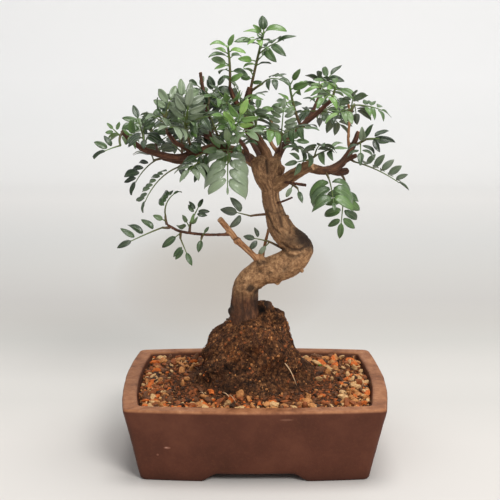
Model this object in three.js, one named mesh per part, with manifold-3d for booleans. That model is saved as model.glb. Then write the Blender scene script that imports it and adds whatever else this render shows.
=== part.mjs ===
// Pistachio bonsai: a curved trunk with pinnate leaves, on its raised root ball, in a footed clay pot.
// Millimetres. X runs to the right, Y away from the viewer, Z up. The origin is on the ground
// under the middle of the pot.
import * as THREE from 'three';
import { mergeVertices } from 'three/addons/utils/BufferGeometryUtils.js';
import Module from 'manifold-3d';

const wasm = await Module();
wasm.setup();

// Pot
const potHeight = 54;
const potHalfWidth = 89;
const potHalfDepth = 69;
const potTaper = 11;
const sideBow = 4.5;
const outerCorner = 6;
const rimWidth = 10;
const rimRound = 2;
const wallTaper = 9;
const floorTop = 11;
const footHeight = 5.5;
const footLength = 52;
const footDepth = 41;
const footRamp = 11;
const drainRadius = 7;
const drainOffset = 40;

// What lies in the pot
const gap = 0.3;
const screenSize = 20;
const screenThickness = 0.8;
const screenHoles = 2;
const soilTop = 46;
const gritTop = 50.5;
const gritCell = 9;
const gritRelief = 3;
const gritTilt = 1.8;
const moundRise = 4;
const moundReach = 9;
const ballFoot = 28;
const ballCentre = new THREE.Vector2(-2, 1);
const ballDepthShare = 0.8;
const ballSoilRadius = 45;
const ballTop = 101;
const ballSides = 22;
const ballSwell = 1.6;
const ballLean = 3;

// Wood and leaves
const ringSpacing = 13;
const coreRadius = 0.1;
const stemRadius = 1;
const bladeThickness = 0.65;
const ribHalfWidth = 0.5;
const leafletSlimness = 2.6;
const leafletRootHalf = 0.55;
const leafletPitch = 0.5;
const largestShare = 0.5;
const largestEnd = 0.95;
const droopRadius = 16;
const leafClearance = 3;
const woodClearance = 1.6;

// Park and Miller's generator, so that every draw repeats
let seed = 20817;
function draw() {
  seed = (seed * 16807) % 2147483647;
  return seed / 2147483647;
}

const degrees = (angle) => (angle * Math.PI) / 180;
const point = ([x, y, z]) => new THREE.Vector3(x, y, z);
const flat = (x, y) => new THREE.Vector2(x, y);

// Closed geometry to solid and back
function solidOf(geometry) {
  geometry.deleteAttribute('normal');
  geometry.deleteAttribute('uv');
  const merged = mergeVertices(geometry, 1e-4);
  return new wasm.Manifold(new wasm.Mesh({
    numProp: 3,
    vertProperties: new Float32Array(merged.attributes.position.array),
    triVerts: new Uint32Array(merged.index.array),
  }));
}

function geometryOf(solid) {
  const mesh = solid.getMesh();
  const geometry = new THREE.BufferGeometry();
  geometry.setAttribute('position', new THREE.BufferAttribute(new Float32Array(mesh.vertProperties), 3));
  geometry.setIndex(new THREE.BufferAttribute(new Uint32Array(mesh.triVerts), 1));
  return geometry;
}

const fuse = (solids) => solids.reduce((whole, solid) => whole.add(solid));
const largest = (solid) => solid.decompose().reduce((a, b) => (a.volume() > b.volume() ? a : b));

function moveEachVertex(geometry, move) {
  const positions = geometry.attributes.position;
  const vertex = new THREE.Vector3();
  for (let i = 0; i < positions.count; i += 1) {
    move(vertex.fromBufferAttribute(positions, i));
    positions.setXYZ(i, vertex.x, vertex.y, vertex.z);
  }
  return geometry;
}

function extrude(shape, depth, curveSegments = 4, steps = 1) {
  return new THREE.ExtrudeGeometry(shape, { depth, steps, curveSegments, bevelEnabled: false });
}

const group = new THREE.Group();
function addNode(name, solid, color, roughness) {
  const material = new THREE.MeshStandardMaterial({ color, roughness, metalness: 0 });
  const mesh = new THREE.Mesh(geometryOf(solid), material);
  mesh.name = name;
  group.add(mesh);
}

// Pot: a bowed rectangle lofted through levels of [height, inset]
function bowedOutline(halfWidth, halfDepth, bow, corner) {
  const shape = new THREE.Shape();
  shape.moveTo(corner - halfWidth, -halfDepth);
  shape.quadraticCurveTo(0, -halfDepth - 2 * bow, halfWidth - corner, -halfDepth);
  shape.quadraticCurveTo(halfWidth, -halfDepth, halfWidth, corner - halfDepth);
  shape.quadraticCurveTo(halfWidth + 2 * bow, 0, halfWidth, halfDepth - corner);
  shape.quadraticCurveTo(halfWidth, halfDepth, halfWidth - corner, halfDepth);
  shape.quadraticCurveTo(0, halfDepth + 2 * bow, corner - halfWidth, halfDepth);
  shape.quadraticCurveTo(-halfWidth, halfDepth, -halfWidth, halfDepth - corner);
  shape.quadraticCurveTo(-halfWidth - 2 * bow, 0, -halfWidth, corner - halfDepth);
  shape.quadraticCurveTo(-halfWidth, -halfDepth, corner - halfWidth, -halfDepth);
  return shape;
}

function loft(levels) {
  const outline = bowedOutline(potHalfWidth, potHalfDepth, sideBow, outerCorner);
  const last = levels.length - 1;
  return moveEachVertex(extrude(outline, last, 4, last), (v) => {
    const [height, inset] = levels[Math.round(v.z)];
    v.x *= 1 - inset / potHalfWidth;
    v.y *= 1 - inset / potHalfDepth;
    v.z = height;
  });
}

function archedSlot(halfSpan, length) {
  const slot = new THREE.Shape([
    flat(-halfSpan - footRamp, -1),
    flat(halfSpan + footRamp, -1),
    flat(halfSpan, footHeight),
    flat(-halfSpan, footHeight),
  ]);
  return extrude(slot, length).translate(0, 0, -length / 2).rotateX(Math.PI / 2);
}

const cavityInset = (height) => rimWidth + (wallTaper * (potHeight - height)) / (potHeight - floorTop);

function makePot() {
  const outside = solidOf(loft([
    [0, potTaper + 1],
    [2, potTaper - 0.2],
    [potHeight - rimRound, 0.4],
    [potHeight - 0.5, 0.6],
    [potHeight, rimRound],
  ]));
  const cavity = solidOf(loft([
    [floorTop, cavityInset(floorTop)],
    [potHeight - rimRound, cavityInset(potHeight - rimRound)],
    [potHeight + 1, rimWidth - rimRound],
  ]));
  const baseHalfWidth = potHalfWidth - potTaper;
  const baseHalfDepth = potHalfDepth - potTaper;
  const underFront = archedSlot(baseHalfWidth - footLength, 2 * potHalfDepth);
  const underSide = archedSlot(baseHalfDepth - footDepth, 2 * potHalfWidth).rotateZ(Math.PI / 2);
  let pot = outside.subtract(cavity).subtract(solidOf(underFront)).subtract(solidOf(underSide));
  for (const x of [-drainOffset, drainOffset]) {
    const drain = new THREE.CylinderGeometry(drainRadius, drainRadius, 2 * floorTop, 12);
    pot = pot.subtract(solidOf(drain.rotateX(Math.PI / 2).translate(x, 0, floorTop)));
  }
  return pot;
}

// Coarse plastic screen over a drain hole
function makeScreen(x) {
  const pitch = screenSize / (screenHoles + 0.6);
  const opening = pitch * 0.66;
  const middle = (screenHoles - 1) / 2;
  let screen = solidOf(new THREE.BoxGeometry(screenSize, screenSize, screenThickness));
  for (let row = 0; row < screenHoles; row += 1) {
    for (let column = 0; column < screenHoles; column += 1) {
      const hole = new THREE.BoxGeometry(opening, opening, 3 * screenThickness);
      screen = screen.subtract(solidOf(hole.translate((column - middle) * pitch, (row - middle) * pitch, 0)));
    }
  }
  return screen.translate(x, 0, floorTop + gap + screenThickness / 2);
}

// The ball's foot goes straight down through grit and soil
function ballPlug(grow, bottom, top) {
  const radius = ballSoilRadius + grow;
  const plug = new THREE.CylinderGeometry(radius, radius, top - bottom, ballSides).rotateX(Math.PI / 2);
  plug.scale(1, ballDepthShare, 1).translate(ballCentre.x, ballCentre.y, (top + bottom) / 2);
  return solidOf(plug);
}

function makeSoil() {
  const bottom = floorTop + gap;
  let soil = solidOf(loft([
    [bottom, cavityInset(bottom) + gap],
    [soilTop, cavityInset(soilTop) + gap],
  ]));
  for (const x of [-drainOffset, drainOffset]) {
    const side = screenSize + 2 * gap;
    const pocket = new THREE.BoxGeometry(side, side, 2 * (screenThickness + gap));
    soil = soil.subtract(solidOf(pocket.translate(x, 0, bottom)));
  }
  return soil.subtract(ballPlug(gap, ballFoot - gap, potHeight));
}

// The bed is drawn up round the ball's foot and tilts up to the back
function bedRise(x, y) {
  const far = Math.hypot(x - ballCentre.x, (y - ballCentre.y) / ballDepthShare) - ballSoilRadius;
  const tilt = gritTilt * THREE.MathUtils.smoothstep(y, -10, 45);
  return moundRise * Math.exp(-Math.max(0, far) / moundReach) + tilt;
}

// Grit: a layer whose top is raised into stones, one to a cell of a slanted grid
function makeGrit() {
  const bottom = soilTop + gap;
  const columns = Math.round((2 * potHalfWidth) / gritCell);
  const rows = Math.round((2 * potHalfDepth) / gritCell);
  const width = columns * gritCell;
  const depth = rows * gritCell;
  const bed = new THREE.BoxGeometry(width, depth, 2 * (gritTop - bottom), columns, rows, 1);
  const heights = new Map();
  moveEachVertex(bed, (v) => {
    if (v.z < 0) return;
    const column = Math.round(v.x / gritCell + columns / 2);
    const row = Math.round(v.y / gritCell + rows / 2);
    const cell = `${column},${row}`;
    if (!heights.has(cell)) heights.set(cell, [draw() - 0.5, draw() - 0.5, draw()]);
    const [shiftX, shiftY, lift] = heights.get(cell);
    const isStone = (column + row) % 3 === 0;
    v.x += shiftX * gritCell * 0.5;
    v.y += shiftY * gritCell * 0.5;
    v.z += gritRelief * (isStone ? 0.6 + 0.4 * lift : -0.5 * lift) + bedRise(v.x, v.y);
  });
  bed.translate(0, 0, bottom);
  const room = solidOf(loft([
    [bottom, cavityInset(bottom) + gap],
    [potHeight - rimRound, cavityInset(potHeight - rimRound) + gap],
    [potHeight + 2 * gritRelief, rimWidth + gap],
  ]));
  const hole = ballPlug(gap, 0, potHeight).add(ballPlug(ballSwell, gritTop + 2, 2 * potHeight));
  return largest(solidOf(bed).intersect(room).subtract(hole));
}

// Wood: each limb is a list of [x, y, z, radius], swept and then fused
const limbs = [
  { sides: 12, points: [[-3, 2, 84, 13], [-6, 1, 98, 12], [-7, 0, 112, 9.6], [-5, -2, 124, 9.2],
    [4, -4, 132, 9], [17, -7, 137, 9.8], [28, -8, 144, 9.8], [33, -8, 152, 8.8]] },
  { sides: 12, points: [[31, -8, 145, 8.4], [31, -8, 152, 9.2], [22, -6, 160, 9], [17, -5, 167, 8.4],
    [14, -3, 175, 6.9], [11.5, -1, 184, 6.3], [11, 0, 195, 6.8], [12, 0, 204, 7], [13, 0, 211, 5.2]] },
  { sides: 8, points: [[10, -1, 192, 5.6], [6, -4, 200, 6.2], [4, -5, 207, 6.2], [3, -6, 212, 5.6]] },
  { sides: 8, points: [[-4, 0, 130, 4], [2, -6, 137, 5], [9, -9, 141, 4]] },
  { sides: 7, points: [[12, 0, 204, 4.6], [6, -2, 220, 3.4], [-4, -6, 237, 2.9], [-9, -8, 247, 2.6]] },
  { sides: 5, points: [[-9, -8, 245, 2.2], [-14, -10, 255, 1.8], [-17, -10, 263, 1.2]] },
  { sides: 6, points: [[-8, -8, 244, 2.5], [-6, -6, 251, 2.5], [-3, -4, 262, 2.3]] },
  { sides: 6, points: [[12, 0, 204, 4], [17, 4, 216, 2.8], [23, 8, 224, 2.3], [32, 12, 233, 2.1],
    [44, 14, 243, 1.8], [53, 14, 251, 1.4]] },
  { sides: 5, points: [[16, 5, 216, 1.6], [11, 10, 224, 1.4], [12, 14, 240, 1.2]] },
  { sides: 8, points: [[10, 0, 190, 4.6], [19, -6, 197, 4.4], [28, -11, 204, 4], [39, -14, 210, 4]] },
  { sides: 6, points: [[32, -12, 209, 3.4], [48, -12, 206, 3.1], [57, -10, 209, 2.9], [63, -8, 215, 2.6],
    [67, -6, 222, 2.1], [71, -4, 232, 1.7]] },
  { sides: 5, points: [[61, -8, 212, 2], [69, -14, 217, 1.6]] },
  { sides: 6, points: [[49, -11, 207, 2.8], [57, -6, 204, 2.7], [64, 0, 204, 2.5]] },
  { sides: 5, points: [[65, -7, 218, 1.2], [64, -4, 227, 1.1], [65, 0, 243, 1], [63, 2, 254, 0.9]] },
  { sides: 5, points: [[13, -4, 198, 1.3], [24, -14, 198, 1.1], [35, -18, 197, 1.2]] },
  { sides: 5, points: [[12, -3, 181, 1], [18, -10, 184, 0.9], [26, -14, 188, 0.8]] },
  { sides: 7, points: [[9, 2, 199, 4.2], [0, 2, 209, 4], [-13, -10, 219, 3.6], [-30, -18, 222, 3.2],
    [-42, -22, 219, 2.7], [-52, -24, 217, 2.4], [-65, -22, 219, 2.2], [-75, -20, 222, 2],
    [-84, -18, 228, 1.8], [-90, -16, 234, 1.3]] },
  { sides: 5, points: [[-34, -18, 221, 2.2], [-44, -8, 214, 1.9], [-52, -4, 211, 1.8], [-64, 0, 213, 1.6]] },
  { sides: 5, points: [[-42, -21, 220, 2], [-47, -26, 224, 1.7], [-53, -30, 228, 1.6],
    [-58, -32, 235, 1.5]] },
  { sides: 5, points: [[-27, -16, 222, 2], [-32, -8, 243, 1.6], [-35, -4, 259, 1.4], [-37, -2, 272, 1.3]] },
  { sides: 6, points: [[3, -4, 137, 2.8], [0, -9, 145, 2.3], [-12, -16, 158, 2.3], [-16, -19, 164, 2.2],
    [-24, -24, 175, 2.1]] },
  { sides: 5, points: [[-15, -18, 163, 1.4], [-25, -24, 164, 1.1], [-35, -28, 165, 1.1],
    [-50, -32, 168, 1.1], [-59, -34, 173, 1]] },
  { sides: 5, points: [[6, -1, 136, 1.6], [6, 10, 143, 1.3], [10, 16, 160, 1.1]] },
  { sides: 6, points: [[10, 2, 196, 3.4], [4, 18, 212, 2.8], [-4, 36, 224, 2.2], [-8, 50, 233, 1.5]] },
  { sides: 5, points: [[22, 8, 223, 2.2], [34, 28, 232, 1.9], [42, 44, 241, 1.5], [46, 54, 248, 1.2]] },
  { sides: 5, points: [[-14, -12, 219, 2.8], [-26, 8, 223, 2.3], [-40, 26, 229, 1.8], [-50, 38, 236, 1.3]] },
  { sides: 5, points: [[-3, 0, 212, 2.6], [-5, -20, 217, 2.2], [-6, -36, 224, 1.7], [-10, -46, 232, 1.2]] },
];

function limb({ points, sides }, grow) {
  const path = new THREE.CatmullRomCurve3(points.map(point), false, 'catmullrom');
  const steps = Math.max(2, Math.round(path.getLength() / ringSpacing));
  const section = new THREE.Shape();
  for (let i = 0; i < sides; i += 1) {
    const angle = (2 * Math.PI * i) / sides;
    section[i ? 'lineTo' : 'moveTo'](coreRadius * Math.cos(angle), coreRadius * Math.sin(angle));
  }
  const core = new THREE.ExtrudeGeometry(section, { steps, bevelEnabled: false, extrudePath: path });
  const centres = path.getSpacedPoints(steps);
  const radii = centres.map((_, ring) => {
    const along = path.getUtoTmapping(ring / steps) * (points.length - 1);
    const before = Math.min(Math.floor(along), points.length - 2);
    return THREE.MathUtils.lerp(points[before][3], points[before + 1][3], along - before) + grow;
  });
  return solidOf(moveEachVertex(core, (v) => {
    const near = centres.map((centre) => v.distanceTo(centre));
    const ring = near.indexOf(Math.min(...near));
    v.sub(centres[ring]).multiplyScalar(radii[ring] / coreRadius).add(centres[ring]);
  }));
}

const growWood = (grow) => fuse(limbs.map((one) => limb(one, grow)));

// Root ball: a lumpy bell of fibrous root round the trunk's foot, by [radius, height], and lobes
// against the trunk, as [x, y, z, radius]
const ballProfile = [[11, 100.5], [16, 98.5], [20, 95], [27, 86], [31.5, 76], [36.5, 63], [42, 56],
  [ballSoilRadius, 52]];
const ballLobes = [[6, 1, 103.5, 7.6], [14, -1, 98.5, 7]];

function makeRootBall(woodWithGap) {
  const profile = [flat(0, ballFoot), flat(ballSoilRadius, ballFoot)];
  for (const [radius, height] of [...ballProfile].reverse()) profile.push(flat(radius, height));
  profile.push(flat(0, ballTop));
  const bell = new THREE.LatheGeometry(profile, ballSides).rotateX(Math.PI / 2);
  moveEachVertex(bell, (v) => {
    const angle = Math.atan2(v.y, v.x);
    const rise = Math.max(0, v.z - 52);
    const lump = 0.09 * Math.sin(3 * angle + 0.13 * v.z) + 0.05 * Math.sin(7 * angle - 0.29 * v.z);
    const swell = 1 + lump * Math.min(1, rise / 8);
    v.x = v.x * swell + ballCentre.x + ballLean * THREE.MathUtils.smoothstep(v.z, 82, 96);
    v.y = v.y * swell * (ballDepthShare + rise * 0.003) + ballCentre.y;
  });
  const lobes = ballLobes.map(([x, y, z, radius]) => {
    const lobe = new THREE.IcosahedronGeometry(radius, 1);
    return solidOf(lobe.translate(x, y, z));
  });
  return largest(fuse([solidOf(bell), ...lobes]).subtract(woodWithGap));
}

// Leaves
// A leaf runs from its stem to a tip: pairs of leaflets and one at the end, cut to the rib.
// A side of 1 or -1 has leaflets on that side alone.
const sky = [0, -0.45, 0.9];
const viewer = [0, -1, 0.3];
const left = [-0.8, -0.6, 0.3];
const behind = [0, 0.5, 0.85];
const leaf = (along, tip, size, extra = {}) => ({ along, tip, size, ...extra });
const spray = (name, stem, leaves) => ({ name, stem, leaves });

const sprays = [
  spray('left_tip', [[-89, -16, 233], [-92, -21, 230], [-90, -24, 225]], [
    leaf(1, [-108, -31, 218], 12, { face: [0, -0.8, 0.5], lift: 40, side: -1 }),
    leaf(0.35, [-99, -22, 240], 8, { face: viewer }),
    leaf(0.15, [-84, -12, 240], 11),
  ]),
  spray('left_front', [[-75, -20, 222], [-74, -26, 228], [-74, -30, 234]], [
    leaf(0.7, [-86, -42, 238], 13, { face: left }),
    leaf(1, [-71, -34, 249], 12, { face: viewer }),
    leaf(1, [-76, -62, 228], 12),
  ]),
  spray('left_back', [[-65, -22, 219], [-68, -10, 228], [-71, -2, 234]], [
    leaf(0.7, [-84, 8, 239], 13),
    leaf(1, [-66, 12, 246], 14, { face: viewer }),
    leaf(0.9, [-82, 26, 232], 13, { face: behind }),
  ]),
  spray('left_side', [[-58, -32, 234], [-59, -34, 241], [-60, -36, 247]], [
    leaf(1, [-64, -44, 259], 14, { face: left }),
    leaf(0.8, [-52, -28, 266], 16, { face: viewer }),
    leaf(0.6, [-70, -56, 248], 14),
  ]),
  spray('left_mid', [[-42, -22, 219], [-44, -30, 231], [-46, -37, 240]], [
    leaf(1, [-41, -46, 266], 17, { face: viewer }),
    leaf(0.7, [-62, -64, 240], 14),
    leaf(1, [-22, -56, 248], 15),
  ]),
  spray('left_top', [[-21, -15, 221], [-25, -18, 230], [-28, -19, 239]], [
    leaf(1, [-36, -16, 262], 14, { face: viewer }),
    leaf(0.8, [-8, -28, 252], 13),
  ]),
  spray('left_inner', [[-50, -5, 212], [-50, 2, 220], [-51, 8, 228]], [
    leaf(1, [-62, 24, 240], 14, { face: behind }),
    leaf(0.8, [-34, 20, 242], 13),
  ]),
  spray('left_stub', [[-32, -8, 243], [-31, 0, 250], [-31, 4, 256]], [
    leaf(1, [-46, 12, 266], 14, { face: viewer }),
    leaf(0.8, [-20, 4, 270], 13, { face: viewer }),
    leaf(0.7, [-52, 26, 254], 13, { face: behind }),
  ]),
  spray('left_hang_tip', [[-63, 0, 213], [-67, 1, 212], [-70, 2, 211]], [
    leaf(0.6, [-85, -16, 190], 11, { face: [-0.5, -0.7, 0.45], lift: 30, arch: 4, side: -1 }),
    leaf(1, [-78, 26, 214], 12, { face: behind }),
  ]),
  spray('left_hang', [[-44, -8, 214], [-48, -12, 211], [-52, -15, 209]], [
    leaf(1, [-76, -33, 181], 9, { face: [-0.6, -0.6, 0.5], lift: 20, arch: 6, side: -1 }),
    leaf(0.8, [-47.5, -24, 203], 12, { face: viewer }),
  ]),
  spray('pale_leaf', [[-13, -12, 219], [-17, -19, 224], [-18, -26, 224]], [
    leaf(1, [-18, -50, 196], 20, { face: [0, -0.5, 0.87], lift: 28, most: 0.8, pitch: 0.42, end: 0.3 }),
    leaf(0.9, [-18, -45, 240], 15, { face: viewer, most: 0.7 }),
  ]),
  spray('left_under', [[-30, -18, 222], [-33, -24, 218], [-35, -29, 214]], [
    leaf(1, [-38, -42, 203], 11, { face: viewer, most: 0.55 }),
    leaf(0.8, [-50, -53, 219], 13),
  ]),
  spray('front', [[-10, -46, 232], [-12, -50, 236], [-14, -53, 240]], [
    leaf(1, [-27, -70, 251], 16),
    leaf(0.8, [-6, -60, 260], 17, { face: viewer }),
    leaf(0.5, [2, -74, 236], 14),
  ]),
  spray('apex', [[-3, -4, 260], [1, -4, 279], [6, -4, 299]], [
    leaf(1, [5, -2, 310], 12, { face: viewer, slimness: 1.7 }),
    leaf(0.97, [22, -8, 301], 18, { arch: 3 }),
    leaf(0.93, [-8, -3, 300], 13),
    leaf(0.95, [-1, -9, 304], 9, { face: viewer }),
    leaf(0.85, [2, -17, 297], 13),
    leaf(0.87, [11, -10, 293], 9),
    leaf(0.78, [-14, -8, 293], 16),
    leaf(0.62, [28, -8, 296], 15, { most: 0.55 }),
    leaf(0.45, [-8, -8, 276], 14),
    leaf(0.5, [12, 11, 285], 14),
    leaf(0.43, [11, -12, 278], 11),
    leaf(0.25, [-10, -18, 275], 14),
    leaf(0.9, [-9, -15, 291], 12),
    leaf(0.7, [11, -17, 288], 13),
  ]),
  spray('left_apex', [[-17, -10, 261], [-16, -10, 274], [-18, -10, 289]], [
    leaf(1, [-30, -13, 293], 14),
    leaf(1, [-14, -12, 298], 10, { face: viewer }),
    leaf(0.95, [-18, -25, 291], 13),
    leaf(0.9, [-6, -14, 287], 13),
    leaf(0.85, [-29, -2, 287], 13),
    leaf(0.78, [-33, -14, 284], 16),
    leaf(0.75, [-9, 0, 284], 12),
    leaf(0.58, [-27, -18, 275], 12),
    leaf(0.45, [-4, -16, 270], 14),
    leaf(0.45, [-25, 2, 272], 13),
  ]),
  spray('apex_low', [[-10, -9, 247], [-17, -14, 251], [-21, -17, 253]], [
    leaf(1, [-40, -28, 258], 14),
    leaf(0.7, [-16, -38, 262], 14, { face: viewer }),
  ]),
  spray('apex_arch', [[-4, -4, 258], [0, -8, 262], [5, -11, 265]], [
    leaf(1, [24, -20, 264], 11, { arch: 5 }),
  ]),
  spray('right_apex', [[32, 12, 233], [26, 11, 248], [24, 8, 262]], [
    leaf(1, [31, 2, 274], 11, { face: viewer }),
    leaf(0.95, [12, -2, 270], 14, { arch: 3 }),
    leaf(0.9, [37, 0, 264], 14, { face: viewer }),
    leaf(0.6, [17, -6, 250], 11, { face: viewer }),
    leaf(0.7, [39, 20, 262], 13, { face: behind }),
  ]),
  spray('right_top', [[53, 14, 250], [55, 14, 256], [56, 14, 261]], [
    leaf(0.9, [40, 8, 266], 11),
    leaf(1, [56, 26, 265], 11),
    leaf(0.8, [71, 4, 251], 18),
    leaf(0.4, [42, -12, 250], 13),
  ]),
  spray('right_top_low', [[44, 14, 243], [46, 20, 243], [47, 25, 242]], [
    leaf(1, [62, 46, 238], 13, { face: behind }),
    leaf(0.7, [37, 36, 252], 13, { face: behind }),
  ]),
  spray('right_twig_leaves', [[65, 0, 243], [67, 0, 247], [68, 1, 250]], [
    leaf(0.5, [47, -14, 240], 14),
    leaf(0.9, [95, 6, 241], 11),
    leaf(1, [80, 28, 240], 13, { face: behind }),
  ]),
  spray('right_cluster', [[67, -6, 222], [72, -9, 225], [76, -13, 228]], [
    leaf(1, [94, -24, 227], 15, { face: [0, -0.75, 0.65], most: 0.6 }),
    leaf(0.8, [80, -12, 238], 13, { most: 0.6 }),
    leaf(0.5, [74, -34, 214], 12),
  ]),
  spray('right_long', [[63, -8, 215], [66, -10, 213], [68, -11, 212]], [
    leaf(1, [104, -24, 194.5], 10, { lift: 60, arch: 3, pitch: 0.72 }),
  ]),
  spray('right_hang', [[48, -12, 206], [49, -15, 204], [50, -18, 202]], [
    leaf(1, [52.5, -46, 185], 19, { face: [0, -0.5, 0.85], lift: 24, most: 0.7, pitch: 0.5, end: 0.35 }),
  ]),
  spray('right_hang_back', [[58, -6, 204], [61, -5, 201], [62, -5, 198]], [
    leaf(1, [58.5, -12, 158.5], 12.5, { face: viewer, pitch: 0.75 }),
  ]),
  spray('right_over', [[36, -13, 212], [39, -18, 216], [41, -22, 218]], [
    leaf(1, [62, -34, 224], 12),
    leaf(0.8, [49, -48, 229], 14),
    leaf(0.6, [16, -34, 226], 14),
  ]),
  spray('right_under', [[24, -14, 198], [28, -17, 196], [29, -19, 195]], [
    leaf(1, [32, -26, 186], 10, { face: viewer }),
  ]),
  spray('centre', [[17, 4, 217], [18, -8, 226], [18, -20, 232]], [
    leaf(1, [-4, -36, 236], 13),
    leaf(0.9, [42, -38, 238], 13),
    leaf(0.3, [20, -10, 256], 9, { face: viewer }),
  ]),
  spray('centre_up', [[1, -4, 229], [1, -12, 240], [-1, -20, 246]], [
    leaf(1, [8, -34, 249], 13, { face: viewer }),
    leaf(0.3, [-17, -36, 250], 14),
  ]),
  spray('low_tip', [[-57, -34, 171], [-60, -35.5, 171], [-62, -36.5, 171.5]], [
    leaf(1, [-91, -52, 161], 11.5, { face: viewer, arch: 4, side: -1, pitch: 0.72 }),
  ]),
  spray('low_up', [[-59, -34, 173], [-60, -34, 176], [-60, -33, 179]], [
    leaf(1, [-49, -26, 194], 8.5, { face: [-0.7, -0.7, 0.2], arch: 6, side: 1, most: 0.5, pitch: 0.45 }),
    leaf(0.4, [-68, -37, 180], 8, { face: viewer, slimness: 2 }),
  ]),
  spray('low_mid', [[-44, -31, 167], [-44, -29, 171], [-43, -28, 174]], [
    leaf(1, [-35, -24, 189], 8, { face: viewer }),
    leaf(0.4, [-48, -42, 181], 8, { face: viewer }),
  ]),
  spray('low_hang', [[-50, -32, 168], [-50, -34, 166], [-50, -36, 164]], [
    leaf(1, [-42, -44, 147], 10.5, { face: viewer, side: -1, most: 0.6, pitch: 0.3 }),
    leaf(0.3, [-62, -37, 158], 13, { face: viewer, arch: 3 }),
  ]),
  spray('low_near', [[-35, -28, 165], [-36, -31, 164], [-36, -33, 163]], [
    leaf(1, [-38, -37, 154.5], 13, { face: viewer, slimness: 2.1 }),
    leaf(0.3, [-31, -31, 171], 6, { face: viewer }),
  ]),
  spray('low_cross', [[12, -2, 174], [3, -6, 174.5], [-3, -9, 174]], [
    leaf(1, [-24, -20, 177], 13, { face: viewer, slimness: 2.1, most: 0.55, pitch: 0.8 }),
  ]),
  spray('low_back', [[22, -3, 148], [15, -6, 153], [9, -8, 156]], [
    leaf(1, [-8, -11, 160], 10, { face: viewer, slimness: 2.1, pitch: 0.8 }),
    leaf(0.9, [5, -8, 144], 10, { face: viewer }),
  ]),
  spray('back', [[-8, 50, 233], [-9, 54, 239], [-10, 56, 245]], [
    leaf(1, [-22, 66, 264], 14, { face: behind }),
    leaf(0.8, [10, 70, 252], 14, { face: behind }),
    leaf(0.5, [-26, 74, 236], 14, { face: behind }),
  ]),
  spray('back_low', [[-4, 36, 224], [1, 40, 225], [5, 44, 225]], [
    leaf(1, [24, 58, 220], 14, { face: behind }),
    leaf(0.7, [4, 66, 212], 14, { face: behind }),
  ]),
  spray('back_right', [[46, 54, 248], [47, 57, 253], [48, 58, 258]], [
    leaf(1, [57, 72, 255], 14, { face: behind }),
    leaf(0.8, [34, 74, 256], 14, { face: behind }),
    leaf(0.6, [66, 70, 248], 14, { face: behind }),
  ]),
  spray('back_right_low', [[42, 44, 241], [47, 45, 239], [51, 46, 237]], [
    leaf(1, [74, 50, 228], 14, { face: behind }),
    leaf(0.6, [48, 66, 226], 14, { face: behind }),
  ]),
  spray('back_left', [[-50, 38, 236], [-52, 41, 241], [-53, 43, 246]], [
    leaf(1, [-58, 46, 258], 14, { face: behind }),
    leaf(0.8, [-70, 56, 241], 14, { face: behind }),
    leaf(0.6, [-42, 62, 252], 14, { face: behind }),
  ]),
  spray('back_left_low', [[-40, 26, 229], [-44, 28, 225], [-48, 30, 222]], [
    leaf(1, [-70, 38, 212], 14, { face: behind }),
    leaf(0.6, [-36, 50, 216], 14, { face: behind }),
  ]),
];

// One leaflet's outline from root to root, on the side of the rib given by 1 or -1
function leaflet(x, side, angle, long, wide) {
  const along = flat(Math.cos(angle), side * Math.sin(angle));
  const across = flat(-Math.sin(angle), side * Math.cos(angle));
  const root = flat(x, side * ribHalfWidth);
  const at = (share, half) => root.clone().addScaledVector(along, share * long).addScaledVector(across, half);
  return [
    flat(x - leafletRootHalf, side * ribHalfWidth),
    at(0.4, wide / 2),
    at(1, 0),
    at(0.55, -wide / 2),
    flat(x + leafletRootHalf, side * ribHalfWidth),
  ];
}

// A leaf laid flat: its outline, and marks that stand for its leaflets. A longer leaf has more pairs.
function layOutLeaf(spec, length) {
  const { size: wanted, slimness = leafletSlimness, side: only = 0 } = spec;
  const { most = largestShare, pitch = leafletPitch, end: endShare = largestEnd } = spec;
  const isSingle = wanted > 0.7 * length;
  const size = isSingle ? wanted : Math.min(wanted, most * length);
  const endSize = Math.min(endShare * size, length - 1);
  const endRoot = length - endSize;
  const lastRoot = endRoot - 0.24 * size;
  const firstRoot = Math.min(4.5 + 0.09 * length, lastRoot);
  const pairs = isSingle ? 0 : 1 + Math.round((lastRoot - firstRoot) / (pitch * size));
  const step = pairs > 1 ? (lastRoot - firstRoot) / (pairs - 1) : size;
  const edges = { 1: [flat(0, ribHalfWidth)], '-1': [flat(0, -ribHalfWidth)] };
  for (let pair = 0; pair < pairs; pair += 1) {
    const share = pairs > 1 ? pair / (pairs - 1) : 1;
    const x = lastRoot - (pairs - 1 - pair) * step;
    for (const side of [1, -1]) {
      const long = size * (0.86 + 0.14 * Math.sin(Math.PI * share) + 0.14 * (draw() - 0.5));
      const angle = degrees(70 - 12 * share + 8 * (draw() - 0.5));
      if (side === -only) continue;
      edges[side].push(...leaflet(x, side, angle, long, Math.min(size / slimness, 0.8 * step)));
    }
  }
  const half = endSize / slimness / 2;
  const shoulder = isSingle ? [flat(endRoot + 0.82 * endSize, -half * 0.6)] : [];
  const end = [
    flat(endRoot + 0.42 * endSize, -half),
    ...shoulder,
    flat(length, 0),
    ...shoulder.map(({ x, y }) => flat(x, -y)),
    flat(endRoot + 0.42 * endSize, half),
  ];
  const outline = [...edges[-1], ...end, ...edges[1].reverse()];
  const marks = outline.filter((p) => Math.abs(p.y) > ribHalfWidth + 0.01 || p.x > length - 1);
  return { outline, marks };
}

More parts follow.
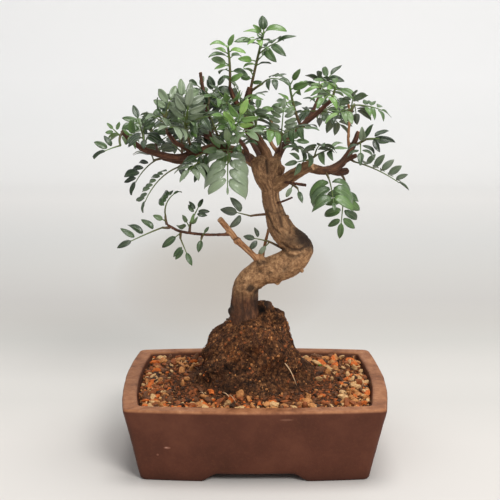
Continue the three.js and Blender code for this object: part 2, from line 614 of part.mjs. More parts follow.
// How a flat leaf stands in space: its rib arches from base to tip and its leaflets lift, then droop
function leafStance(base, tip, { face = sky, lift = 12, arch }) {
  const chord = tip.clone().sub(base);
  const span = chord.length();
  const along = chord.normalize();
  const facing = point(face);
  const up = facing.addScaledVector(along, -facing.dot(along)).normalize();
  const across = up.clone().cross(along);
  const rise = arch ?? span * 0.09;
  const radius = (span * span / 4 + rise * rise) / (2 * rise);
  const halfTurn = Math.asin(span / 2 / radius);
  const centre = base.clone().add(tip).multiplyScalar(0.5).addScaledVector(up, rise - radius);
  const place = (x, y, z) => {
    const slope = degrees(lift) - Math.abs(y) / droopRadius;
    const out = droopRadius * (Math.sin(degrees(lift)) - Math.sin(slope)) - z * Math.sin(slope);
    const height = droopRadius * (Math.cos(slope) - Math.cos(degrees(lift))) + z * Math.cos(slope);
    const turn = x / radius - halfTurn;
    return centre.clone()
      .addScaledVector(up, (radius + height) * Math.cos(turn))
      .addScaledVector(along, (radius + height) * Math.sin(turn))
      .addScaledVector(across, Math.sign(y) * out);
  };
  return { length: 2 * halfTurn * radius, place };
}

const woodMarks = limbs.flatMap(({ points }) => points.map(([x, y, z, radius]) => ({
  at: new THREE.Vector3(x, y, z), room: radius + woodClearance,
})));
const takenMarks = [...woodMarks];
const turns = [[0, 0], [9, 0], [-9, 0], [0, 9], [0, -9], [18, 0], [-18, 0], [0, 18], [0, -18], [14, 14],
  [-14, -14], [14, -14], [-14, 14], [27, 0], [0, 27], [0, -27]];

// A leaf that would touch what is already there is turned on its base until it is clear
function standLeaf(base, spec) {
  const straight = leafStance(base, point(spec.tip), spec);
  const { outline, marks } = layOutLeaf(spec, straight.length);
  let best;
  for (const [swing, nod] of turns) {
    const reach = point(spec.tip).sub(base);
    const swung = reach.applyAxisAngle(new THREE.Vector3(0, 0, 1), degrees(swing));
    const level = new THREE.Vector3(swung.y, -swung.x, 0).normalize();
    const stance = leafStance(base, swung.applyAxisAngle(level, degrees(nod)).add(base), spec);
    const spots = marks.map((mark) => stance.place(mark.x, mark.y, 0));
    const room = Math.min(...spots.map((spot) => Math.min(
      ...takenMarks.map((taken) => spot.distanceTo(taken.at) - taken.room),
    )));
    if (!best || room > best.room) best = { stance, spots, room };
    if (room > 0) break;
  }
  return { outline, ...best };
}

function leafSolid(outline, stance) {
  const blade = extrude(new THREE.Shape(outline), bladeThickness);
  return solidOf(moveEachVertex(blade, (v) => v.copy(stance.place(v.x, v.y, v.z - bladeThickness / 2))));
}

function makeSpray({ stem, leaves }, woodWithGap) {
  const path = new THREE.QuadraticBezierCurve3(...stem.map(point));
  const section = new THREE.Shape();
  for (let i = 0; i < 4; i += 1) {
    const angle = (2 * Math.PI * i) / 4;
    section[i ? 'lineTo' : 'moveTo'](stemRadius * Math.cos(angle), stemRadius * Math.sin(angle));
  }
  const steps = Math.max(2, Math.round(path.getLength() / 9));
  let whole = solidOf(new THREE.ExtrudeGeometry(section, { steps, bevelEnabled: false, extrudePath: path }));
  for (const spec of leaves) {
    const { outline, stance, spots } = standLeaf(path.getPoint(spec.along), spec);
    takenMarks.push(...spots.map((at) => ({ at, room: leafClearance })));
    whole = whole.add(leafSolid(outline, stance));
  }
  return largest(whole.subtract(woodWithGap));
}

// The whole plant in its pot
const woodWithGap = growWood(gap);
addNode('pot', makePot(), 0x5c3a2e, 0.85);
addNode('drain_screen_left', makeScreen(-drainOffset), 0x1d1f1e, 0.6);
addNode('drain_screen_right', makeScreen(drainOffset), 0x1d1f1e, 0.6);
addNode('soil', makeSoil(), 0x35241a, 0.95);
addNode('grit', makeGrit(), 0xb98a5e, 0.9);
addNode('root_ball', makeRootBall(woodWithGap), 0x5b3a24, 0.95);
addNode('tree', growWood(0), 0xa37f58, 0.8);
for (const one of sprays) {
  addNode(`spray_${one.name}`, makeSpray(one, woodWithGap), 0x4f7a48, 0.5);
}

export default group;
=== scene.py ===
import math
from itertools import combinations

import bpy
import numpy as np
from mathutils import Matrix, Vector, noise
from mathutils.kdtree import KDTree


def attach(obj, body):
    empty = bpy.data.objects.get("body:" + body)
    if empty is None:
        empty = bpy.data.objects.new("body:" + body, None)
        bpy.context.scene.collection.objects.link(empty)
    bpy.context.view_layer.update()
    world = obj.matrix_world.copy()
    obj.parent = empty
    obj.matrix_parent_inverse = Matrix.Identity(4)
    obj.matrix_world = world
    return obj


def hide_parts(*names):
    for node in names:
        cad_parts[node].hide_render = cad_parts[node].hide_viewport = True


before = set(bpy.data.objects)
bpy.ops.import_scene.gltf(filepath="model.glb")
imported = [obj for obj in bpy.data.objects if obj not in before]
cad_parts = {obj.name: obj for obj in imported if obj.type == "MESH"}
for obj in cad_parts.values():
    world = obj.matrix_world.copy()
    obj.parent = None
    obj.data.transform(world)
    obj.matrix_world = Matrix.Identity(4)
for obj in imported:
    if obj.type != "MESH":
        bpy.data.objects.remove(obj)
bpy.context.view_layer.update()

MM = 0.001
UP = Vector((0, 0, 1))
FULL_TURN = 2 * math.pi
QUARTER_TURN = math.pi / 2

# Random draws. The leaf seed is the one in the part's source.
DRAW_FACTOR = 16807
DRAW_MODULUS = 2147483647
LEAF_SEED = 20817
LOOK_SEED = 5150
STONE_SEED = 7711
ROOTLET_SEED = 4021
CRUMB_SEED = 9091

# Camera, worked out from the corners of the pot in the photograph
CAMERA_PLACE = (-3.3, -855.5, 341.9)
CAMERA_PITCH = 77.22
CAMERA_LENS = 90
SENSOR_WIDTH = 36

# Pot, as in the part's source
POT_HEIGHT = 54
POT_HALF_WIDTH = 89
POT_HALF_DEPTH = 69
POT_TAPER = 11
SIDE_BOW = 4.5
OUTER_CORNER = 6
RIM_WIDTH = 10
WALL_TAPER = 9
FLOOR_TOP = 11
FOOT_HEIGHT = 5.5
FOOT_INNER = 37
FOOT_INNER_DEEP = 28
FOOT_RAMP = 11
DRAIN_RADIUS = 7
DRAIN_OFFSET = 40

# The pot's finer edges and how evenly its outline is stepped
RIM_SETBACK = 0.4
RIM_ROUND = 2.0
LIP_ROUND = 1.4
FINE_TAPER = POT_TAPER - 0.6
WALL_START = 1.6
WALL_END = POT_HEIGHT - 2.2
WALL_STEPS = 24
SIDE_STEPS = 44
CORNER_STEPS = 6
RIM_STEPS = 6
LIP_STEPS = 5
FLOOR_INSETS = (45, 32, 22, 15, 8, 3, 1.2)
CAVITY_HEIGHTS = (50.5, 48, 44, 38, 30, 20, 14, FLOOR_TOP + 1)
CAVITY_FLOOR_INSETS = (22, 34, 48, 60)
CLAY_LUMP = 26
DRILL_SIDES = 32

# What lies in the pot
GRIT_TOP = 50.2
BED_EDGE_GAP = 0.4
BED_UNDERSIDE = 46.4
BED_STEPS = 34
BED_INNER_SHARE = 0.25
BALL_CENTRE = (-2, 1)
BALL_DEPTH_SHARE = 0.8
BALL_LEAN = 3
BALL_SOIL_RADIUS = 45
BALL_FOOT = 46
BALL_TOP = 101
BALL_ROWS = 90
BALL_COLUMNS = 200
# The ball's profile as pairs of radius and height
BALL_PROFILE = [(0, 101), (11, 100.5), (16, 98.5), (20, 95), (24, 90), (27.5, 85), (30.5, 79), (33, 72),
                (36.5, 63), (42, 56), (50, 50), (54, 44)]
BALL_RADII, BALL_HEIGHTS = np.array(BALL_PROFILE[::-1]).T
BALL_LOBES = [[6, 1, 103.5, 7.6], [14, -1, 98.5, 7]]

# Leaves, as in the part's source
DRAWS_BEFORE_LEAVES = 1008
STEM_RADIUS = 1
DROOP_RADIUS = 16
CURL_RADIUS = 12
LEAF_CLEARANCE = 3
WOOD_CLEARANCE = 1.6
LEAFLET_SLIMNESS = 2.6
LEAFLET_PITCH = 0.5
LARGEST_SHARE = 0.5
LARGEST_END = 0.95
RIB_HALF_WIDTH = 0.5

# Leaves, as only this look has them
FINER_PITCH = 0.74
FINE_RIB_RADIUS = 0.62
RIB_THINNING = 0.3
RIB_STEPS = 8
STEM_STEPS = 8
STEM_TAPER = 0.25
BLADE_ROWS = 9
BLADE_COLUMNS = 7
BLADE_HALF_THICKNESS = 0.14

# Leaves that fill the crown: where on a stem they stand, how they are tried, and their measures
FILLING_START = 0.3
FILLING_RUN = 0.6
FILLING_TRIES = 24
FILLING_REACH = (19, 26)
FILLING_SIZE = (11, 14)
FILLING_LIFT = (10, 24)
# The farthest that the tip of such a leaf reaches: to each side, front and back, and up
CROWN_REACH = (104, 70, 300)


class Draws:
    """A chain of numbers between 0 and 1 that comes out the same in every run."""

    def __init__(self, seed):
        self.seed = seed

    def __call__(self):
        self.seed = self.seed * DRAW_FACTOR % DRAW_MODULUS
        return self.seed / DRAW_MODULUS

    def between(self, low, high):
        return low + (high - low) * self()

    def pick(self, choices):
        return choices[min(int(self() * len(choices)), len(choices) - 1)]


def smooth_step(low, high, value):
    share = min(max((value - low) / (high - low), 0), 1)
    return share * share * (3 - 2 * share)


class Form:
    """A mesh gathered from parts, with a material number on each face and named values on its points."""

    def __init__(self):
        self.points = []
        self.faces = []
        self.slots = []
        self.uvs = []
        self.values = {}

    def add(self, points, faces, slot=0, uvs=None, **values):
        start = len(self.points)
        self.points.extend(points)
        self.faces.extend(tuple(start + i for i in face) for face in faces)
        self.slots.extend([slot] * len(faces))
        self.uvs.extend(uvs or [(0, 0)] * len(points))
        for key, value in values.items():
            rows = self.values.setdefault(key, [0.0] * start)
            rows.extend(value if hasattr(value, "__len__") else [value] * len(points))

    def mesh(self, name, smooth=True):
        mesh = bpy.data.meshes.new(name)
        scaled = np.array([tuple(p) for p in self.points], float) * MM
        mesh.from_pydata(scaled.tolist(), [], self.faces)
        mesh.polygons.foreach_set("material_index", self.slots)
        mesh.polygons.foreach_set("use_smooth", [smooth] * len(self.faces))
        if any(uv != (0, 0) for uv in self.uvs):
            corners = np.zeros(len(mesh.loops), np.int32)
            mesh.loops.foreach_get("vertex_index", corners)
            layer = mesh.uv_layers.new(name="leaf")
            layer.data.foreach_set("uv", np.array(self.uvs, np.float32)[corners].ravel())
        for key, value in self.values.items():
            set_values(mesh, key, np.array(value, np.float32))
        mesh.update()
        return mesh


def set_values(mesh, name, values):
    mesh.attributes.new(name, "FLOAT", "POINT").data.foreach_set("value", values)


def put_in_scene(name, data):
    made = bpy.data.objects.new(name, data)
    bpy.context.scene.collection.objects.link(made)
    return made


def show(name, mesh, materials, nodes):
    piece = put_in_scene(name, mesh)
    for material in materials:
        mesh.materials.append(material)
    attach(piece, "root")
    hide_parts(*nodes)


def applied(mesh, add_modifiers):
    """The mesh that a helper object with these modifiers shows."""
    helper = put_in_scene("helper", mesh)
    add_modifiers(helper)
    graph = bpy.context.evaluated_depsgraph_get()
    made = bpy.data.meshes.new_from_object(helper.evaluated_get(graph))
    bpy.data.objects.remove(helper)
    return made


def grid_faces(rows, columns, closed=True):
    faces = []
    for row in range(rows - 1):
        for column in range(columns if closed else columns - 1):
            beside = (column + 1) % columns
            faces.append((row * columns + column, row * columns + beside,
                          (row + 1) * columns + beside, (row + 1) * columns + column))
    return faces


def capped_faces(rows, columns):
    """A closed grid of rings with one flat face over each end."""
    first = tuple(range(columns - 1, -1, -1))
    last = tuple(range((rows - 1) * columns, rows * columns))
    return grid_faces(rows, columns) + [first, last]


def direction(angle, upward=0.0):
    """The way out from the upright axis at an angle round it, leaning up by this much."""
    return Vector((math.cos(angle), math.sin(angle), upward)).normalized()


# Materials
def srgb(red, green, blue):
    """A colour as seen on a screen, 0 to 255, turned linear."""
    shares = [value / 255 for value in (red, green, blue)]
    return tuple(((c + 0.055) / 1.055) ** 2.4 if c > 0.04 else c / 12.92 for c in shares)


class Shader:
    """A material's nodes. A colour is a socket, or red, green and blue as seen on a screen, 0 to 255."""

    def __init__(self, name, roughness=0.7, specular=0.5):
        self.material = bpy.data.materials.new(name)
        self.material.use_nodes = True
        self.tree = self.material.node_tree
        self.surface = self.tree.nodes["Principled BSDF"]
        self.put(self.surface.inputs["Roughness"], roughness)
        self.put(self.surface.inputs["Specular IOR Level"], specular)
        self.place = self.node("TexCoord").outputs["Object"]

    def put(self, socket, value):
        if isinstance(value, bpy.types.NodeSocket):
            self.tree.links.new(value, socket)
        else:
            socket.default_value = value

    def node(self, kind, **inputs):
        made = self.tree.nodes.new("ShaderNode" + kind)
        for key, value in inputs.items():
            self.put(made.inputs[key.replace("_", " ")], value)
        return made

    def attribute(self, name, output="Fac"):
        made = self.node("Attribute")
        made.attribute_name = name
        return made.outputs[output]

    def split(self, vector):
        return self.node("SeparateXYZ", Vector=vector).outputs

    def cloud(self, size, detail=4, roughness=0.6, place=None, distortion=0.0):
        return self.node("TexNoise", Scale=1 / (size * MM), Detail=detail, Roughness=roughness,
                         Distortion=distortion, Vector=place or self.place).outputs["Fac"]

    def cells(self, size):
        return self.node("TexVoronoi", Scale=1 / (size * MM), Vector=self.place).outputs["Distance"]

    def ramp(self, value, *stops):
        """A colour that follows a value, by stops of position, red, green and blue."""
        made = self.node("ValToRGB", Fac=value)
        elements = made.color_ramp.elements
        while len(elements) < len(stops):
            elements.new(0.5)
        for element, (position, *colour) in zip(elements, stops):
            element.position = position
            element.color = (*srgb(*colour), 1)
        return made.outputs["Color"]

    def mask(self, value, low, high):
        """0 up to the low value and 1 from the high one, or the other way about where low is the larger."""
        return self.node("MapRange", Value=value, From_Min=low, From_Max=high).outputs["Result"]

    def operate(self, operation, a, b=0.0):
        made = self.node("Math")
        made.operation = operation
        self.put(made.inputs[0], a)
        self.put(made.inputs[1], b)
        return made.outputs[0]

    def times(self, a, b):
        return self.operate("MULTIPLY", a, b)

    def mix(self, share, a, b):
        made = self.node("Mix")
        made.data_type = "RGBA"
        self.put(made.inputs["Factor"], share)
        for key, colour in (("A", a), ("B", b)):
            is_socket = isinstance(colour, bpy.types.NodeSocket)
            self.put(made.inputs[key], colour if is_socket else (*srgb(*colour), 1))
        return made.outputs["Result"]

    def spot(self, x, z, wide, tall):
        """A mark on the pot's front wall: 1 at its middle, 0 from its edge on."""
        sizes = (wide, MARK_DEPTH, tall)
        near = self.node("Mapping", Scale=[1 / (size * MM) for size in sizes], Vector=self.place,
                         Location=[-at / size for at, size in zip((x, MARK_PLANE, z), sizes)])
        length = self.node("VectorMath")
        length.operation = "LENGTH"
        self.put(length.inputs[0], near.outputs["Vector"])
        return self.mask(length.outputs["Value"], 1.0, 0.55)

    def colour(self, source):
        self.put(self.surface.inputs["Base Color"], source)

    def rough(self, source):
        self.put(self.surface.inputs["Roughness"], source)

    def bump(self, height, depth, strength=1.0):
        made = self.node("Bump", Strength=strength, Distance=depth * MM, Height=height)
        normal = self.surface.inputs["Normal"]
        if normal.is_linked:
            self.put(made.inputs["Normal"], normal.links[0].from_socket)
        self.put(normal, made.outputs["Normal"])


# Marks on the pot's front wall: x, z, half width, half height, strength and colour
WALL_MARKS = [
    (-59, 26.2, 2.8, 1.1, 0.7, (160, 110, 92)), (-59.6, 26.4, 1.2, 0.5, 0.7, (196, 150, 130)),
    (-65.6, 20.6, 1.1, 1.1, 0.6, (150, 100, 82)), (21, 48.6, 5.5, 1.1, 0.45, (150, 104, 84)),
]
MARK_PLANE = -68
MARK_DEPTH = 12


def clay_material():
    clay = Shader("unglazed_clay", roughness=0.72, specular=0.12)
    height = clay.split(clay.place)["Z"]
    broad = clay.cloud(34, detail=5)
    fine = clay.cloud(2.2, detail=6, roughness=0.7)
    wall = clay.ramp(broad, (0.3, 80, 46, 34), (0.5, 91, 52, 39), (0.72, 106, 63, 47))
    wall = clay.mix(clay.mask(fine, 0.5, 1.0), wall, (108, 66, 47))
    rim = clay.ramp(clay.cloud(12, detail=7, roughness=0.7), (0.32, 112, 68, 44), (0.48, 150, 98, 66),
                    (0.62, 172, 118, 82), (0.75, 200, 148, 108))
    colour = clay.mix(clay.mask(height, (POT_HEIGHT - 1.9) * MM, (POT_HEIGHT - 0.5) * MM), wall, rim)
    colour = clay.mix(clay.attribute("inside"), colour, (84, 50, 36))
    rare = clay.mask(clay.cloud(30, detail=1), 0.6, 0.62)
    chips = clay.times(clay.mask(clay.cells(13), 0.05, 0.035), rare)
    colour = clay.mix(chips, colour, (176, 128, 108))
    for x, z, wide, tall, strength, mark in WALL_MARKS:
        colour = clay.mix(clay.times(clay.spot(x, z, wide, tall), strength), colour, mark)
    foot = clay.times(clay.mask(height, 9 * MM, 0.0), 0.45)
    clay.colour(clay.mix(foot, colour, (58, 34, 27)))
    clay.rough(clay.mask(fine, -0.6, 1.4))
    clay.bump(fine, 0.25, 0.5)
    clay.bump(broad, 1.2, 0.35)
    return clay.material


# Colours along the fibre of each zone of the wood, from its hollows to its ridges
BARK_ZONES = {
    "upper": ((0.32, 82, 57, 40), (0.5, 128, 94, 65), (0.7, 180, 140, 100)),
    # The leg's darker colours are painted shade low on the trunk, over the bark's own fibre
    "leg": ((0.3, 42, 25, 17), (0.5, 88, 55, 36), (0.75, 138, 92, 60)),
    "twig": ((0.3, 38, 24, 20), (0.52, 84, 52, 38), (0.75, 142, 94, 66)),
    "straw": ((0.34, 98, 62, 42), (0.5, 164, 116, 78), (0.68, 206, 162, 122)),
}


def bark_material():
    """Pale speckled bark low on the trunk, brown fibrous bark above it and red-brown twigs, with painted
    shade darkening the trunk's leg and the creases of its folds.
    """
    bark = Shader("bark", roughness=0.75, specular=0.3)
    fibre = bark.cloud(1.6, detail=6, roughness=0.65, place=bark.attribute("grain", "Vector"))
    speck = bark.cloud(1.5, detail=3, roughness=0.7)
    mottle = bark.cloud(3.2, detail=6, roughness=0.72)
    colour = bark.ramp(mottle, (0.32, 92, 64, 42), (0.45, 146, 108, 74), (0.58, 186, 142, 100),
                       (0.72, 218, 178, 134))
    colour = bark.mix(bark.mask(fibre, 0.5, 0.3), colour, bark.mix(0.55, colour, (96, 66, 44)))
    for zone, stops in BARK_ZONES.items():
        colour = bark.mix(bark.attribute(zone), colour, bark.ramp(fibre, *stops))
    dots = bark.times(bark.mask(bark.cells(2.3), 0.3, 0.16), bark.mask(speck, 0.4, 0.55))
    colour = bark.mix(bark.times(dots, 0.75), colour, (84, 54, 36))
    broad = bark.mask(bark.cloud(14), 0.52, 0.75)
    colour = bark.mix(broad, colour, bark.mix(0.5, colour, (84, 62, 44)))
    patch = bark.mask(bark.cloud(4, detail=6, roughness=0.7), 0.1, 0.5)
    ragged = bark.operate("ADD", bark.attribute("stain"), bark.times(patch, 0.6))
    colour = bark.mix(bark.times(bark.mask(ragged, 0.75, 1.35), 0.86), colour, (38, 28, 22))
    # Painted shade along the folds, broken up by the fibre
    crease_shade = bark.times(bark.attribute("fold"), bark.mask(fibre, 0.1, 0.5))
    colour = bark.mix(crease_shade, colour, (42, 28, 20))
    bark.colour(bark.mix(bark.attribute("cut"), colour, (206, 160, 120)))
    bark.bump(fibre, 0.5, 0.6)
    bark.bump(speck, 0.3, 0.6)
    return bark.material


def root_material():
    root = Shader("matted_root", roughness=0.9, specular=0.2)
    crumbs = root.cloud(2.4, detail=8, roughness=0.75)
    flat = root.node("Mapping", Scale=(1, 1, 0.25), Vector=root.place).outputs["Vector"]
    strands = root.cloud(1.3, detail=5, place=flat, distortion=1.2)
    colour = root.ramp(crumbs, (0.36, 22, 15, 10), (0.46, 80, 52, 34), (0.56, 138, 90, 56),
                       (0.67, 222, 160, 104))
    rust = root.ramp(crumbs, (0.34, 66, 36, 20), (0.5, 138, 82, 44), (0.66, 196, 126, 70))
    colour = root.mix(root.mask(root.cloud(11, detail=5, roughness=0.65), 0.5, 0.66), colour, rust)
    dark = root.times(root.mask(root.cloud(8), 0.55, 0.42), 0.55)
    colour = root.mix(dark, colour, (28, 18, 13))
    colour = root.mix(root.mask(strands, 0.6, 0.72), colour, (150, 98, 62))
    # Painted shade in the ball's hollows, on its lower left and towards its foot
    root.colour(root.mix(root.attribute("hollow"), colour, (22, 14, 10)))
    root.bump(crumbs, 1.4)
    root.bump(strands, 0.7, 0.8)
    return root.material


def rootlet_material():
    rootlet = Shader("rootlet", roughness=0.8, specular=0.3)
    rootlet.colour(rootlet.ramp(rootlet.attribute("tone"), (0.0, 46, 28, 20), (0.6, 110, 68, 44),
                                (0.9, 176, 128, 88), (1.0, 214, 180, 140)))
    rootlet.bump(rootlet.cloud(0.8), 0.2, 0.5)
    return rootlet.material


def soil_material():
    soil = Shader("peaty_soil", roughness=0.95, specular=0.15)
    crumbs = soil.cloud(1.8, detail=8, roughness=0.75)
    soil.colour(soil.ramp(crumbs, (0.32, 34, 22, 15), (0.48, 84, 52, 33), (0.62, 128, 80, 48),
                          (0.76, 176, 118, 70)))
    soil.bump(crumbs, 1.2)
    return soil.material


def stone_material(name, dark, light):
    stone = Shader(name, roughness=0.7, specular=0.3)
    patches = stone.cloud(1.6, detail=5, roughness=0.65)
    dust = stone.times(stone.mask(stone.cloud(0.9), 0.55, 0.75), 0.25)
    stone.colour(stone.mix(dust, stone.ramp(patches, (0.3, *dark), (0.7, *light)), (120, 84, 58)))
    stone.bump(patches, 0.3, 0.8)
    return stone.material


def blade_material():
    """A leaf blade: midrib and side veins on its own map, fresher on young shoots, with a painted sheen on
    some leaves and painted shade beneath.
    """
    blade = Shader("leaf_blade", roughness=0.4, specular=0.55)
    blade.put(blade.surface.inputs["Coat Weight"], 0.3)
    blade.put(blade.surface.inputs["Coat Roughness"], 0.22)
    leaf_map = blade.node("UVMap")
    leaf_map.uv_map = "leaf"
    parts = blade.split(leaf_map.outputs["UV"])
    along, across = parts["X"], blade.operate("ABSOLUTE", parts["Y"])
    cloud = blade.cloud(7)
    uneven = blade.times(blade.operate("SUBTRACT", cloud, 0.5), 0.35)
    tone = blade.operate("ADD", blade.attribute("tone"), uneven)
    colour = blade.ramp(tone, (0.0, 10, 20, 10), (0.22, 34, 54, 28), (0.45, 74, 100, 54),
                        (0.72, 106, 146, 62), (1.0, 154, 188, 88))
    # Painted sheen: some leaves paler and greyer, as where they reflect the light
    colour = blade.mix(blade.times(blade.attribute("bloom"), 0.6), colour, (170, 184, 154))
    # Painted shade beneath: the lower sheet of each leaflet pulled towards a dull dark green
    colour = blade.mix(blade.times(blade.attribute("under"), 0.35), colour, (72, 92, 58))
    midrib = blade.times(blade.mask(across, 0.075, 0.03), 0.8)
    slanted = blade.operate("SUBTRACT", blade.times(along, 9.0), blade.times(across, 3.0))
    wave = blade.operate("SUBTRACT", blade.operate("FRACT", slanted), 0.5)
    veins = blade.times(blade.mask(blade.operate("ABSOLUTE", wave), 0.1, 0.02), 0.35)
    lines = blade.operate("MAXIMUM", midrib, veins)
    blade.colour(blade.mix(lines, colour, blade.mix(0.32, colour, (168, 190, 128))))
    blade.rough(blade.mask(cloud, -0.2, 1.7))
    blade.bump(lines, 0.15, 0.6)
    return blade.material


def shoot_material():
    shoot = Shader("green_shoot", roughness=0.5, specular=0.4)
    shoot.colour(shoot.ramp(shoot.attribute("tone"), (0.0, 84, 46, 36), (0.35, 92, 84, 48),
                            (0.7, 92, 120, 58), (1.0, 140, 168, 84)))
    shoot.bump(shoot.cloud(1.2), 0.15, 0.5)
    return shoot.material


def plastic_material():
    plastic = Shader("screen_plastic", roughness=0.55, specular=0.4)
    speck = plastic.cloud(3, detail=3)
    plastic.colour(plastic.ramp(speck, (0.3, 24, 25, 24), (0.7, 44, 45, 43)))
    plastic.bump(speck, 0.1, 0.4)
    return plastic.material


# Pot
def bezier(legs, t):
    a, b, c = legs
    return a * (1 - t) ** 2 + b * (2 * t * (1 - t)) + c * t * t


def bowed_outline(inset):
    """Points round the pot: bowed sides and round corners, scaled in by the inset."""
    wide, deep = POT_HALF_WIDTH, POT_HALF_DEPTH
    corners = [np.array(corner, float)
               for corner in ((-wide, -deep), (wide, -deep), (wide, deep), (-wide, deep))]
    points = []
    for number, way in enumerate(((1, 0), (0, 1), (-1, 0), (0, -1))):
        corner, following = corners[number], corners[(number + 1) % 4]
        ahead = np.array(way)
        left = np.array((-way[1], way[0]))
        start = corner + ahead * OUTER_CORNER
        end = following - ahead * OUTER_CORNER
        middle = (corner + following) / 2 - left * 2 * SIDE_BOW
        turned = following + left * OUTER_CORNER
        points += [bezier((start, middle, end), i / SIDE_STEPS) for i in range(SIDE_STEPS)]
        points += [bezier((end, following, turned), i / CORNER_STEPS) for i in range(CORNER_STEPS)]
    return [(x * (1 - inset / wide), y * (1 - inset / deep)) for x, y in points]


def wall_inset(height):
    """How far the outer wall stands in from the outline at this height."""
    return RIM_SETBACK + FINE_TAPER * (1 - height / (POT_HEIGHT - RIM_ROUND))


def cavity_inset(height):
    return RIM_WIDTH + WALL_TAPER * (POT_HEIGHT - height) / (POT_HEIGHT - FLOOR_TOP)


def foot_arch(x, y):
    """Height of the pot's underside: the feet stand at the corners, with soft ramps between."""
    across = 1 - smooth_step(FOOT_INNER - FOOT_RAMP, FOOT_INNER, abs(x))
    deep = 1 - smooth_step(FOOT_INNER_DEEP - FOOT_RAMP, FOOT_INNER_DEEP, abs(y))
    return FOOT_HEIGHT * max(across, deep)


def pot_rings():
    """Rings from under the floor, up the wall, over the rim and down the cavity. Each has its inset,
    its height, the share of the arched underside that lifts it, and how far inside the pot it counts."""
    base = wall_inset(0) + RIM_SETBACK
    rings = [(base + inset, 0, 1, 0) for inset in FLOOR_INSETS]
    rings += [(base + 0.3, 0.15, 1, 0), (base - 0.1, 0.7, 1, 0)]
    for step in range(WALL_STEPS + 1):
        share = step / WALL_STEPS
        height = WALL_START + (WALL_END - WALL_START) * share
        rings.append((wall_inset(height), height, (1 - share) ** 3, 0))
    for step in range(1, RIM_STEPS + 1):
        angle = QUARTER_TURN * step / RIM_STEPS
        inset = RIM_SETBACK + RIM_ROUND * 0.9 * (1 - math.cos(angle))
        rings.append((inset, POT_HEIGHT - RIM_ROUND + RIM_ROUND * math.sin(angle) * 0.95, 0, 0))
    rings += [(inset, POT_HEIGHT - 0.1 + 0.08 * math.sin(inset), 0, 0) for inset in (4, 6, 8)]
    for step in range(1, LIP_STEPS + 1):
        angle = QUARTER_TURN * step / LIP_STEPS
        inset = RIM_WIDTH - LIP_ROUND + LIP_ROUND * math.sin(angle)
        rings.append((inset, POT_HEIGHT - 1.5 * (1 - math.cos(angle)), 0, step / LIP_STEPS / 2))
    rings += [(cavity_inset(height), height, 0, 1) for height in CAVITY_HEIGHTS]
    rings += [(inset, FLOOR_TOP, 0, 1) for inset in CAVITY_FLOOR_INSETS]
    return rings


def make_pot_mesh():
    rings = pot_rings()
    points = []
    hidden = []
    for inset, height, lifted, inside in rings:
        for x, y in bowed_outline(inset):
            z = height + lifted * foot_arch(x, y)
            place = Vector((x, y, z)) / CLAY_LUMP
            wobble = noise.noise(place) * 0.55 + noise.noise(place * 4.3) * 0.16
            outward = Vector((x, y, 0)).normalized() * (wobble if 4 < z < POT_HEIGHT - 1 else wobble * 0.4)
            points.append((x + outward.x, y + outward.y, z))
            hidden.append(inside)
    form = Form()
    form.add(points, capped_faces(len(rings), len(points) // len(rings)), inside=hidden)
    return form.mesh("pot_body")


def make_pot(clay):
    drills = Form()
    turns = [FULL_TURN * i / DRILL_SIDES for i in range(DRILL_SIDES)]
    for x in (-DRAIN_OFFSET, DRAIN_OFFSET):
        points = [(x + DRAIN_RADIUS * math.cos(turn), DRAIN_RADIUS * math.sin(turn), z)
                  for z in (-2, FLOOR_TOP + 2) for turn in turns]
        drills.add(points, capped_faces(2, DRILL_SIDES))
    tool = put_in_scene("drill", drills.mesh("drill"))

    def cut(piece):
        modifier = piece.modifiers.new("cut", "BOOLEAN")
        modifier.operation = "DIFFERENCE"
        modifier.solver = "EXACT"
        modifier.object = tool

    mesh = applied(make_pot_mesh(), cut)
    bpy.data.objects.remove(tool)
    show("pot_body", mesh, [clay], ["pot"])


